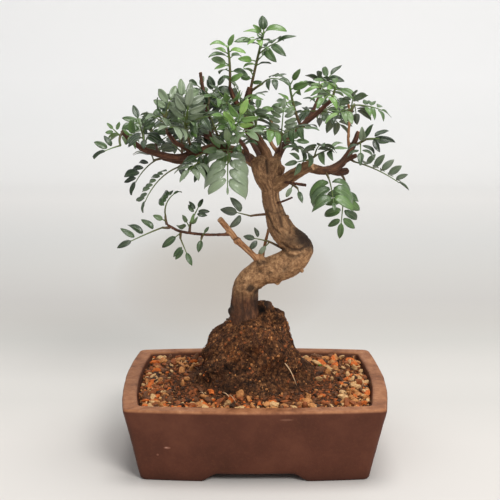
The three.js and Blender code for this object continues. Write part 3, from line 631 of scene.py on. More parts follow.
# Wood. Each limb is a list of [x, y, z, radius], as in the part's source.
LIMBS = [
    [[-3, 2, 84, 13], [-6, 1, 98, 12], [-7, 0, 112, 9.6], [-5, -2, 124, 9.2],
     [4, -4, 132, 9], [17, -7, 137, 9.8], [28, -8, 144, 9.8], [33, -8, 152, 8.8]],
    [[31, -8, 145, 8.4], [31, -8, 152, 9.2], [22, -6, 160, 9], [17, -5, 167, 8.4],
     [14, -3, 175, 6.9], [11.5, -1, 184, 6.3], [11, 0, 195, 6.8], [12, 0, 204, 7], [13, 0, 211, 5.2]],
    [[10, -1, 192, 5.6], [6, -4, 200, 6.2], [4, -5, 207, 6.2], [3, -6, 212, 5.6]],
    [[-4, 0, 130, 4], [2, -6, 137, 5], [9, -9, 141, 4]],
    [[12, 0, 204, 4.6], [6, -2, 220, 3.4], [-4, -6, 237, 2.9], [-9, -8, 247, 2.6]],
    [[-9, -8, 245, 2.2], [-14, -10, 255, 1.8], [-17, -10, 263, 1.2]],
    [[-8, -8, 244, 2.5], [-6, -6, 251, 2.5], [-3, -4, 262, 2.3]],
    [[12, 0, 204, 4], [17, 4, 216, 2.8], [23, 8, 224, 2.3], [32, 12, 233, 2.1], [44, 14, 243, 1.8],
     [53, 14, 251, 1.4]],
    [[16, 5, 216, 1.6], [11, 10, 224, 1.4], [12, 14, 240, 1.2]],
    [[10, 0, 190, 4.6], [19, -6, 197, 4.4], [28, -11, 204, 4], [39, -14, 210, 4]],
    [[32, -12, 209, 3.4], [48, -12, 206, 3.1], [57, -10, 209, 2.9], [63, -8, 215, 2.6],
     [67, -6, 222, 2.1], [71, -4, 232, 1.7]],
    [[61, -8, 212, 2], [69, -14, 217, 1.6]],
    [[49, -11, 207, 2.8], [57, -6, 204, 2.7], [64, 0, 204, 2.5]],
    [[65, -7, 218, 1.2], [64, -4, 227, 1.1], [65, 0, 243, 1], [63, 2, 254, 0.9]],
    [[13, -4, 198, 1.3], [24, -14, 198, 1.1], [35, -18, 197, 1.2]],
    [[12, -3, 181, 1], [18, -10, 184, 0.9], [26, -14, 188, 0.8]],
    [[9, 2, 199, 4.2], [0, 2, 209, 4], [-13, -10, 219, 3.6], [-30, -18, 222, 3.2],
     [-42, -22, 219, 2.7], [-52, -24, 217, 2.4], [-65, -22, 219, 2.2], [-75, -20, 222, 2],
     [-84, -18, 228, 1.8], [-90, -16, 234, 1.3]],
    [[-34, -18, 221, 2.2], [-44, -8, 214, 1.9], [-52, -4, 211, 1.8], [-64, 0, 213, 1.6]],
    [[-42, -21, 220, 2], [-47, -26, 224, 1.7], [-53, -30, 228, 1.6], [-58, -32, 235, 1.5]],
    [[-27, -16, 222, 2], [-32, -8, 243, 1.6], [-35, -4, 259, 1.4], [-37, -2, 272, 1.3]],
    [[3, -4, 137, 2.8], [0, -9, 145, 2.3], [-12, -16, 158, 2.3], [-16, -19, 164, 2.2],
     [-24, -24, 175, 2.1]],
    [[-15, -18, 163, 1.4], [-25, -24, 164, 1.1], [-35, -28, 165, 1.1], [-50, -32, 168, 1.1],
     [-59, -34, 173, 1]],
    [[6, -1, 136, 1.6], [6, 10, 143, 1.3], [10, 16, 160, 1.1]],
    [[10, 2, 196, 3.4], [4, 18, 212, 2.8], [-4, 36, 224, 2.2], [-8, 50, 233, 1.5]],
    [[22, 8, 223, 2.2], [34, 28, 232, 1.9], [42, 44, 241, 1.5], [46, 54, 248, 1.2]],
    [[-14, -12, 219, 2.8], [-26, 8, 223, 2.3], [-40, 26, 229, 1.8], [-50, 38, 236, 1.3]],
    [[-3, 0, 212, 2.6], [-5, -20, 217, 2.2], [-6, -36, 224, 1.7], [-10, -46, 232, 1.2]],
]
TRUNK_LIMBS = (0, 1, 2, 3)
STRAW_LIMBS = (8, 13, 20, 22)
FOLDED_LIMBS = (*TRUNK_LIMBS, 20)
CUT_ENDS = (6, 9, 10, 12, 16, 19, 20)
TRUNK_SIDES = 20
LIMB_SIDES = 12
KNOT_SIDES = 10
KNOT_STEPS = 3
FUSE_SIZE = 0.62

# Small swellings on the wood, as [x, y, z, radius]
KNOTS = [
    [4, -12, 140, 3], [11, -15.5, 136, 1.8], [20.5, -16, 139, 1.8], [16, -9, 127, 2.2], [33, -13, 136, 1.8],
    [22, -9, 173, 2.4], [16, -8, 171, 2.2], [-15, -3, 104, 4], [9, -2, 108, 3.8],
    [3.4, -5.5, 210.6, 5.6], [13, 0, 208.5, 5.6], [17.5, -1, 204, 3.2], [19, -1, 206, 1.8],
    [-12, -16, 158, 2.9], [26, -14, 148.5, 3.6], [31, -15, 149, 3], [3, -8, 143, 4],
]

# Dark blotches on the bark, as [x, y, z, reach]
STAINS = [
    [35.5, -12, 159.5, 8.5], [32, -12, 164, 5.5], [39, -9, 154.5, 5.5], [17, -13, 130, 1.2],
    [-3, -10, 123, 3.2], [3, -9, 118, 5], [6, -8, 111, 7], [-18, -3, 106, 4.5],
]

# Folds seen from the front, as width, depth (below zero where it stands out), darkness and [x, z] points. The
# darkness is painted shade laid along each fold; the wide row with no depth is painted shade alone, over the
# crease at the bend.
SHADED_FOLDS = [
    (1.3, 1.0, 0.85, [[18.6, 155.6], [22, 152.8], [26, 151.8], [31, 152], [35, 154]]),
    (1.3, 0.7, 0.7, [[19.6, 151.4], [22.4, 147.6], [27.6, 146.8], [32.4, 149.2]]),
    (5.0, 0.0, 0.62, [[24, 157.4], [30, 157.6], [35, 158.4]]),
    (0.7, 0.5, 0.8, [[-14.5, 159], [-9.5, 161.5]]),
    (0.7, 0.6, 0.75, [[8, 177], [10.2, 171], [13, 166], [17.5, 162]]),
    (1.0, -0.9, 0.0, [[15.4, 175], [15.8, 169], [17, 164.5]]),
    (1.1, 1.0, 0.8, [[17.6, 173.6], [18.4, 168]]),
    (0.6, 0.5, 0.5, [[7.6, 178], [13.8, 176], [20, 177.4]]),
    (0.7, 0.6, 0.5, [[20.4, 176], [23.4, 172], [25, 167.6], [24, 163]]),
    (1.1, 1.0, 0.9, [[8.4, 212], [9, 208], [9.2, 204]]),
    (1.7, 1.0, 0.85, [[1.6, 141.4], [6.6, 142.2]]),
    (1.1, 0.7, 0.7, [[3.4, 135.8], [4, 135.6]]),
    (1.3, 0.8, 0.8, [[10.4, 135.4], [11.4, 135.2]]),
    (1.1, 0.6, 0.6, [[20.4, 137.6], [21.4, 139]]),
    (0.8, 0.7, 0.6, [[-9, 119], [-8, 108], [-9, 98]]),
    (0.8, 0.7, 0.6, [[-2, 117], [-2.6, 107], [-3, 98]]),
    (1.0, 0.8, 0.7, [[3.2, 120], [4, 110], [4.6, 100]]),
]


def fold_relief_and_shade(co, normals):
    """How far the folds press in and how much painted shade lies along them, on the side that faces the
    front.
    """
    press = np.zeros(len(co))
    dark = np.zeros(len(co))
    front = normals[:, 1] < 0.3
    x, z = co[:, 0], co[:, 2]
    for width, depth, darkness, line in SHADED_FOLDS:
        near = np.full(len(co), np.inf)
        for (x1, z1), (x2, z2) in zip(line, line[1:]):
            dx, dz = x2 - x1, z2 - z1
            share = np.clip(((x - x1) * dx + (z - z1) * dz) / (dx * dx + dz * dz), 0, 1)
            near = np.minimum(near, np.hypot(x - x1 - share * dx, z - z1 - share * dz))
        strength = np.exp(-(near / width) ** 2) * front
        press += depth * strength
        dark = np.maximum(dark, darkness * strength)
    return press, dark


def spline_point(rows, along):
    """A smooth curve through rows, at a number of rows along."""
    before = min(int(along), len(rows) - 2)
    t = along - before
    p1, p2 = rows[before], rows[before + 1]
    p0 = rows[before - 1] if before > 0 else 2 * p1 - p2
    p3 = rows[before + 2] if before + 2 < len(rows) else 2 * p2 - p1
    m1, m2 = (p2 - p0) / 2, (p3 - p1) / 2
    return ((2 * t ** 3 - 3 * t * t + 1) * p1 + (t ** 3 - 2 * t * t + t) * m1
            + (3 * t * t - 2 * t ** 3) * p2 + (t ** 3 - t * t) * m2)


def walk(limb, spacing=1.0, fineness=24):
    """Centres and radii at even steps along a limb, and how far along each one is."""
    rows = np.array(limb, float)
    fine = np.array([spline_point(rows, i / fineness) for i in range(fineness * (len(rows) - 1) + 1)])
    lengths = np.cumsum([0] + [np.linalg.norm(b[:3] - a[:3]) for a, b in zip(fine, fine[1:])])
    count = max(4, int(round(lengths[-1] / spacing)))
    wanted = np.linspace(0, lengths[-1], count + 1)
    return np.stack([np.interp(wanted, lengths, fine[:, k]) for k in range(4)], 1), wanted


def tube(form, stations, sides, slot=0, round_end=0.0, **values):
    """A closed tube through stations of [x, y, z, radius]. Its last point may stand out from its end."""
    centres = [Vector(station[:3]) for station in stations]
    side = None
    points = []
    for i, centre in enumerate(centres):
        ahead = (centres[min(i + 1, len(centres) - 1)] - centres[max(i - 1, 0)]).normalized()
        if side is None:
            side = ahead.orthogonal().normalized()
        side = (side - ahead * side.dot(ahead)).normalized()
        other = ahead.cross(side)
        for k in range(sides):
            angle = FULL_TURN * k / sides
            points.append(centre + (side * math.cos(angle) + other * math.sin(angle)) * stations[i][3])
    tip = centres[-1] + (centres[-1] - centres[-2]).normalized() * round_end
    start = len(points)
    tail = start - sides
    faces = grid_faces(len(centres), sides)
    faces += [(start, (k + 1) % sides, k) for k in range(sides)]
    faces += [(start + 1, tail + k, tail + (k + 1) % sides) for k in range(sides)]
    for key, value in values.items():
        if hasattr(value, "__len__"):
            values[key] = [v for v in value for _ in range(sides)] + [value[0], value[-1]]
    form.add(points + [centres[0], tip], faces, slot, **values)


def add_knot(form, x, y, z, radius):
    """A round swelling, drawn as a short tube that runs away from the viewer."""
    stations = []
    for step in range(-KNOT_STEPS, KNOT_STEPS + 1):
        across = math.sqrt(max(0.02, 1 - (step / KNOT_STEPS) ** 2))
        stations.append([x, y + radius * step / KNOT_STEPS, z, radius * across])
    tube(form, stations, KNOT_SIDES)


def nearest_of(samples, candidates=12):
    """A search for the sample whose round surface lies nearest to a place."""
    tree = KDTree(len(samples))
    for i, sample in enumerate(samples):
        tree.insert(sample[2:5], i)
    tree.balance()

    def search(place):
        near = tree.find_n(place, candidates)
        found = [(distance - 1.2 * samples[i][5], samples[i]) for _, i, distance in near]
        return min(found, key=lambda pair: pair[0])

    return search


def read_vectors(mesh, key):
    rows = np.zeros(len(mesh.vertices) * 3)
    mesh.vertices.foreach_get(key, rows)
    return rows.reshape(-1, 3)


def fuse(piece):
    """Turns crossing sweeps into one skin with soft joints."""
    remesh = piece.modifiers.new("fuse", "REMESH")
    remesh.mode = "VOXEL"
    remesh.voxel_size = FUSE_SIZE * MM
    remesh.use_smooth_shade = True
    soft = piece.modifiers.new("soft", "SMOOTH")
    soft.factor = 0.5
    soft.iterations = 4


def bark_rise(place, out, centre, thick):
    """Relief of the bark: strands along the limb, fine grain and broad lumps, all weaker on thin wood."""
    strand = Vector((out.x * 0.62, out.y * 0.62, out.z * 0.62 + (centre.x + centre.z) * 0.11)) * 1.1
    fine = noise.fractal(place * 0.55, 1.0, 2.2, 4)
    lumps = noise.noise(place * 0.13 + Vector((7, 3, 1)))
    return thick * (0.22 * noise.noise(strand) + 0.2 * fine + 0.75 * lumps) + (1 - thick) * 0.12 * fine


def limb_marks(number, share, centre, radius, thick, normal):
    """Which zone of the wood a place belongs to, and whether it lies on a sawn end."""
    on_trunk = number in TRUNK_LIMBS
    cut = 0
    if number in CUT_ENDS and share > 0.985:
        end = Vector(LIMBS[number][-1][:3]) - Vector(LIMBS[number][-2][:3])
        cut = Vector(normal).dot(end.normalized()) > 0.75
    return {
        "upper": smooth_step(154, 172, centre.z) if on_trunk else 1 - 0.25 * thick,
        # Darker towards the trunk's foot: painted shade
        "leg": smooth_step(126, 112, centre.z) if on_trunk else 0,
        "twig": 0 if on_trunk else 1 - smooth_step(2.6, 4.4, radius),
        "straw": number in STRAW_LIMBS,
        "cut": cut,
    }


def make_tree(bark):
    """Every limb is swept, the sweeps are fused, and bark relief is raised from the result."""
    form = Form()
    samples = []
    for number, limb in enumerate(LIMBS):
        stations, lengths = walk(limb)
        samples += [(number, length / lengths[-1], *station) for station, length in zip(stations, lengths)]
        tube(form, stations, TRUNK_SIDES if number in TRUNK_LIMBS else LIMB_SIDES)
    for knot in KNOTS:
        add_knot(form, *knot)
    mesh = applied(form.mesh("wood"), fuse)
    co = read_vectors(mesh, "co") / MM
    normals = read_vectors(mesh, "normal")
    searches = [nearest_of([s for s in samples if (s[0] in TRUNK_LIMBS) == on_trunk])
                for on_trunk in (False, True)]
    names = ("upper", "leg", "twig", "straw", "stain", "cut", "fold")
    marks = {name: np.zeros(len(co), np.float32) for name in names}
    grain = np.zeros((len(co), 3), np.float32)
    stains = np.array(STAINS, float)
    press, dark = fold_relief_and_shade(co, normals)
    for i, normal in enumerate(normals):
        place = Vector(co[i])
        nearest = min((search(place) for search in searches), key=lambda pair: pair[0])
        number, share, *centre, radius = nearest[1]
        centre = Vector(centre)
        thick = smooth_step(1.2, 4.5, radius)
        # The bark's own coordinates: round the limb in full, along it squeezed
        grain[i] = (place - centre + centre * 0.22) * MM
        rise = bark_rise(place, place - centre, centre, thick)
        # These limbs are pressed in along the folds and take their painted shade
        if number in FOLDED_LIMBS:
            rise -= press[i]
            marks["fold"][i] = dark[i]
        co[i] += normal * rise
        for name, value in limb_marks(number, share, centre, radius, thick, normal).items():
            marks[name][i] = value
        reach = np.linalg.norm(stains[:, :3] - co[i], axis=1) / stains[:, 3]
        marks["stain"][i] = max(0.0, min(1.0, 1.45 - reach.min()))
    mesh.vertices.foreach_set("co", (co * MM).ravel())
    for name, rows in marks.items():
        set_values(mesh, name, rows)
    mesh.attributes.new("grain", "FLOAT_VECTOR", "POINT").data.foreach_set("vector", grain.ravel())
    mesh.polygons.foreach_set("use_smooth", [True] * len(mesh.polygons))
    mesh.update()
    show("wood", mesh, [bark], ["tree"])


# Root ball. Hollows are [x, y, z, reach]; each is dented in and painted dark with shade.
HOLLOWS = [[-17, -29, 70, 3.6], [-10, -30, 70.5, 3.6], [9, -12, 102, 2.6], [17, -14, 97, 3.2],
           [12, -30, 74, 2.4], [22, -18, 88, 2.4], [4, -7, 106, 2.6], [-16, -22, 88, 2]]
# A broad painted shade on the ball's lower left: its middle and reach
SHADE_CENTRE = (-22, -36, 57)
SHADE_REACH = 30
# Pale hairs at the ball's foot: where each starts, how far it runs and its radius
HAIRS = [
    ((21, -26, 73), (8, -6, -14), 0.45), ((-22, -36, 55), (6, -6, -4), 0.4),
    ((-38, -30, 53), (4, -5, -2), 0.35), ((-18, -38, 54), (5, -8, -3), 0.3),
]
ROOTLET_COUNT = 300
ROOTLET_STEPS = 9
CRUMB_COUNT = 1500


def ball_radius(height):
    return float(np.interp(height, BALL_HEIGHTS, BALL_RADII))


def ball_point(angle, height):
    """A point on the root ball's surface, as in the part's source."""
    radius = ball_radius(height)
    rise = max(0, height - 52)
    lump = 0.09 * math.sin(3 * angle + 0.13 * height) + 0.05 * math.sin(7 * angle - 0.29 * height)
    swell = 1 + lump * min(1, rise / 8)
    x = radius * math.cos(angle) * swell + BALL_CENTRE[0] + BALL_LEAN * smooth_step(82, 96, height)
    y = radius * math.sin(angle) * swell * (BALL_DEPTH_SHARE + rise * 0.003) + BALL_CENTRE[1]
    return Vector((x, y, height))


def ball_relief(place):
    """How far the matted surface stands out at a place, and how much painted shade it takes there: in its
    hollows, on its lower left and towards its foot.
    """
    crumble = noise.fractal(place * 0.16, 0.9, 2.1, 5)
    strands = noise.noise(Vector((place.x * 0.5, place.y * 0.5, place.z * 0.16)))
    clods = noise.noise(place * 0.075 + Vector((3, 1, 8)))
    ragged = 0.45 * noise.noise(place * 0.3)
    dents = [1 - (place - Vector(at)).length / (2.1 * reach) + ragged for *at, reach in HOLLOWS]
    dent = min(1, max(0.0, *dents))
    shade = max(0.0, 1 - (place - Vector(SHADE_CENTRE)).length / SHADE_REACH + ragged)
    # Painted shade that deepens towards the ball's foot
    low = 0.3 * smooth_step(86, 62, place.z)
    return 1.6 * crumble + 0.9 * strands + 1.8 * clods - 3.6 * dent, min(1, max(1.9 * dent, 0.8 * shade, low))


def on_ball(angle, height, upward=0.3, out=0.0):
    """A place on the ball's relief or a little out from it, and how much painted shade it takes there."""
    place = ball_point(angle, height)
    rise, darkness = ball_relief(place)
    full = min(1, ball_radius(height) / 16)
    return place + direction(angle, upward) * (rise * full + out), darkness


def add_lobe(form, centre, reach, rows=28, columns=44):
    """A rounded lump of roots on the ball."""
    points = []
    hollow = []
    for row in range(rows):
        tilt = math.pi * (row + 0.5) / rows
        for column in range(columns):
            turn = FULL_TURN * column / columns
            way = Vector((math.sin(tilt) * math.cos(turn), math.sin(tilt) * math.sin(turn), -math.cos(tilt)))
            place = centre + way * reach
            rise, darkness = ball_relief(place)
            points.append(place + way * rise * 0.8)
            hollow.append(darkness)
    form.add(points, capped_faces(rows, columns), hollow=hollow)


def make_root_ball(matted):
    form = Form()
    points = []
    hollow = []
    for row in range(BALL_ROWS + 1):
        height = BALL_FOOT + (BALL_TOP - BALL_FOOT) * (row / BALL_ROWS)
        for column in range(BALL_COLUMNS):
            place, darkness = on_ball(FULL_TURN * column / BALL_COLUMNS, height, upward=0.25)
            points.append(place)
            hollow.append(darkness)
    top = len(points)
    last = top - BALL_COLUMNS
    faces = grid_faces(BALL_ROWS + 1, BALL_COLUMNS)
    faces += [(last + (k + 1) % BALL_COLUMNS, last + k, top) for k in range(BALL_COLUMNS)]
    faces.append(tuple(range(BALL_COLUMNS - 1, -1, -1)))
    crown = Vector((BALL_CENTRE[0] + BALL_LEAN, BALL_CENTRE[1], BALL_TOP))
    form.add(points + [crown], faces, hollow=hollow + [0.0])
    for *centre, reach in BALL_LOBES:
        add_lobe(form, Vector(centre), reach)
    show("matted_roots", form.mesh("matted_roots"), [matted], ["root_ball"])


def make_rootlets(rootlet):
    """Fine roots that wander down the ball, and a few pale hairs on the soil at its foot."""
    draw = Draws(ROOTLET_SEED)
    form = Form()
    for _ in range(ROOTLET_COUNT):
        angle = draw.between(0, FULL_TURN)
        height = draw.between(52, BALL_TOP - 2)
        run = draw.between(8, 26)
        slant = draw.between(-0.9, 0.9)
        thick = draw.between(0.1, 0.24) if draw() < 0.9 else draw.between(0.3, 0.6)
        phase = draw.between(0, 6)
        stations = []
        for step in range(ROOTLET_STEPS):
            t = step / (ROOTLET_STEPS - 1)
            z = height - run * t * math.cos(slant)
            if z < 50:
                break
            aside = run * t * math.sin(slant) + 1.6 * math.sin(phase + 5 * t)
            hump = 0.7 * math.sin(math.pi * t)
            place, _darkness = on_ball(angle + aside / max(ball_radius(z), 8), z, out=hump - 0.1)
            stations.append([*place, thick * (1 - 0.6 * t)])
        if len(stations) > 3:
            tube(form, stations, 5, tone=draw.between(0.0, 0.62))
    for start, run, thick in HAIRS:
        stations = []
        for t in (0, 0.2, 0.4, 0.6, 0.8, 1):
            sag = math.sin(math.pi * t)
            place = Vector(start) + Vector(run) * t + Vector((0, -2 * sag, 2.5 * sag))
            stations.append([*place, thick * (1 - 0.5 * t)])
        tube(form, stations, 6, tone=1.0)
    show("rootlets", form.mesh("rootlets"), [rootlet], ["root_ball"])


def make_crumbs(stones):
    """Crumbs of soil and chips of grit caught in the matted roots."""
    draw = Draws(CRUMB_SEED)
    corners, faces = icosahedron()
    form = Form()
    for _ in range(CRUMB_COUNT):
        height = 47 + (BALL_TOP - 49) * draw() ** 1.4
        angle = draw.between(0, FULL_TURN)
        radius = 0.3 + 0.75 * draw() ** 2
        tone = draw.pick((5, 5, 4, 4, 3, 3, 1)) if draw() < 0.95 else draw.pick((0, 1, 2))
        place, _darkness = on_ball(angle, height)
        stretch = Vector([draw.between(0.6, 1.4) for _ in range(3)])
        form.add([corner * stretch * radius + place for corner in corners], faces, tone)
    show("crumbs", form.mesh("crumbs", smooth=False), stones, ["root_ball"])


# Soil and grit
def in_pot(x, y, margin=0):
    """How far inside the cavity's edge a place lies, beyond a margin."""
    wide = POT_HALF_WIDTH - cavity_inset(GRIT_TOP) - margin
    deep = POT_HALF_DEPTH - cavity_inset(GRIT_TOP) - margin
    wide += SIDE_BOW * (1 - (y / deep) ** 2)
    deep += SIDE_BOW * (1 - (x / wide) ** 2)
    return min(wide - abs(x), deep - abs(y))


def beyond_ball(x, y):
    """How far outside the root ball's foot a place on the bed lies."""
    return math.hypot(x - BALL_CENTRE[0], (y - BALL_CENTRE[1]) / BALL_DEPTH_SHARE) - BALL_SOIL_RADIUS


def bed_height(x, y):
    """The soil's surface: nearly level, drawn up to the root ball and uneven."""
    lift = 5 * math.exp(-max(0, beyond_ball(x, y)) / 9)
    tilt = 1.8 * smooth_step(-10, 45, y)
    rough = noise.noise(Vector((x, y, 0)) * 0.07) + 0.6 * noise.noise(Vector((x, y, 5)) * 0.4)
    return GRIT_TOP - 1.2 + lift + tilt + rough


def make_bed(soil):
    """A ring of soil: its surface from under the ball out to the pot's wall, and a level underside."""
    outline = bowed_outline(cavity_inset(GRIT_TOP) + BED_EDGE_GAP)
    columns = len(outline)
    points = []
    for step in range(BED_STEPS + 1):
        share = BED_INNER_SHARE + (1 - BED_INNER_SHARE) * (step / BED_STEPS)
        sunk = 0.8 if step == BED_STEPS else 0
        points += [(x * share, y * share, bed_height(x * share, y * share) - sunk) for x, y in outline]
    outer_edge, inner_edge = points[-columns:], points[:columns]
    points += [(x, y, BED_UNDERSIDE) for x, y, _ in outer_edge + inner_edge]
    rings = len(points) // columns
    faces = grid_faces(rings, columns)
    faces += [(len(points) - columns + a, len(points) - columns + b, b, a)
              for a, b in ((k, (k + 1) % columns) for k in range(columns))]
    form = Form()
    form.add(points, [face[::-1] for face in faces])
    show("soil_surface", form.mesh("soil_surface"), [soil], ["grit"])


def icosahedron():
    golden = (1 + 5 ** 0.5) / 2
    points = []
    for a, b in ((-1, golden), (1, golden), (-1, -golden), (1, -golden)):
        points += [Vector((a, b, 0)), Vector((0, a, b)), Vector((b, 0, a))]
    points = [point.normalized() for point in points]
    edge = min((points[0] - point).length for point in points[1:]) * 1.05
    faces = []
    for i, j, k in combinations(range(12), 3):
        a, b, c = points[i], points[j], points[k]
        if max((a - b).length, (b - c).length, (a - c).length) < edge:
            inward = (b - a).cross(c - a).dot(a) < 0
            faces.append((i, k, j) if inward else (i, j, k))
    return points, faces


def round_stone():
    """An icosahedron with every face split in four and its corners on a sphere."""
    points, coarse = icosahedron()
    middles = {}
    faces = []

    def between(a, b):
        key = (min(a, b), max(a, b))
        if key not in middles:
            middles[key] = len(points)
            points.append((points[a] + points[b]).normalized())
        return middles[key]

    for a, b, c in coarse:
        ab, bc, ca = between(a, b), between(b, c), between(c, a)
        faces += [(a, ab, ca), (b, bc, ab), (c, ca, bc), (ab, bc, ca)]
    return points, faces


# Stones: name, dark and light colour, and how many in 32 are of this kind. Moss is placed one by one.
STONE_TONES = [
    ("cream_stone", (172, 128, 80), (236, 194, 138), 5),
    ("tan_stone", (152, 96, 52), (220, 154, 92), 9),
    ("orange_stone", (168, 78, 28), (234, 126, 54), 4),
    ("rust_stone", (110, 60, 30), (174, 98, 52), 6),
    ("brown_stone", (76, 48, 30), (134, 86, 54), 6),
    ("dark_stone", (38, 26, 19), (82, 54, 36), 2),
    ("moss", (56, 84, 38), (112, 146, 70), 0),
]
MOSS = len(STONE_TONES) - 1
MOSS_PLACES = [(50, 31), (51.5, 30.5), (53, 29.5), (54, 30), (48.5, 31.5)]
STONE_PITCH = 2.7
ROW_SHARE = 0.87
STONE_SCATTER = 0.42
# Rows and columns of stones on each side of the middle
STONE_ROWS = 29
STONE_COLUMNS = 34
SMALLEST_STONE = 0.8
STONE_GROWTH = 2.3


def make_grit(stones):
    """Loose stones on the soil: thick along the walls, thinning to dark crumbs by the root ball."""
    draw = Draws(STONE_SEED)
    corners, faces = round_stone()
    chances = [i for i, (_, _, _, share) in enumerate(STONE_TONES) for _ in range(share)]
    form = Form()
    for row in range(-STONE_ROWS, STONE_ROWS + 1):
        for column in range(-STONE_COLUMNS, STONE_COLUMNS + 1):
            x = (column + 0.5 * (row % 2) + draw.between(-STONE_SCATTER, STONE_SCATTER)) * STONE_PITCH
            y = (row + draw.between(-STONE_SCATTER, STONE_SCATTER)) * STONE_PITCH * ROW_SHARE
            size, tone, chance = draw(), draw.pick(chances), draw()
            stretch = Vector((draw.between(0.95, 1.6), draw.between(0.7, 1.1),
                              draw.between(0.6, 0.95) * 0.75))
            angle = draw.between(0, 6.28)
            turn = Matrix.Rotation(angle, 3, Vector((draw() - 0.5, draw() - 0.5, draw())).normalized())
            radius = SMALLEST_STONE + STONE_GROWTH * size ** 2.5
            if in_pot(x, y, radius + 0.4) < 0 or beyond_ball(x, y) < 1:
                continue
            bare = smooth_step(12, 26, in_pot(x, y)) if y < 18 else 0.6
            if chance < 0.86 * bare:
                tone = draw.pick((4, 5, 3, 3))
                radius *= 0.55
            spot = Vector((x, y, 0))
            place = Vector((x, y, bed_height(x, y) + radius * 0.35))
            points = []
            for corner in corners:
                rough = 1 + 0.5 * noise.noise(corner * 1.3 + spot)
                points.append(turn @ (corner * stretch) * (radius * rough) + place)
            form.add(points, faces, tone)
    for x, y in MOSS_PLACES:
        place = Vector((x, y, bed_height(x, y) + 1.6))
        form.add([corner * draw.between(0.8, 1.2) + place for corner in corners], faces, MOSS)
    show("grit_stones", form.mesh("grit_stones", smooth=False), stones, ["grit"])


# Leaves. Ways that a leaf may face
SKY = (0, -0.45, 0.9)
VIEWER = (0, -1, 0.3)
LEFT = (-0.8, -0.6, 0.3)
BEHIND = (0, 0.5, 0.85)
PLAIN_LEAF = {
    "lift": 12, "arch": None, "slimness": LEAFLET_SLIMNESS, "side": 0, "most": LARGEST_SHARE,
    "pitch": LEAFLET_PITCH, "end": LARGEST_END, "curl": CURL_RADIUS, "bloom": None, "longer": 1,
}


def leaf(along, tip, size, face=SKY, **more):
    """A leaf from a share of its stem to its tip. A side of 1 or -1 has leaflets on that side alone."""
    return {**PLAIN_LEAF, "along": along, "tip": Vector(tip), "size": size, "face": Vector(face), **more}


def spray(stem, freshness, *leaves):
    """A green stem through three points, how fresh its leaves are, and the leaves on it."""
    return [Vector(point) for point in stem], freshness, leaves


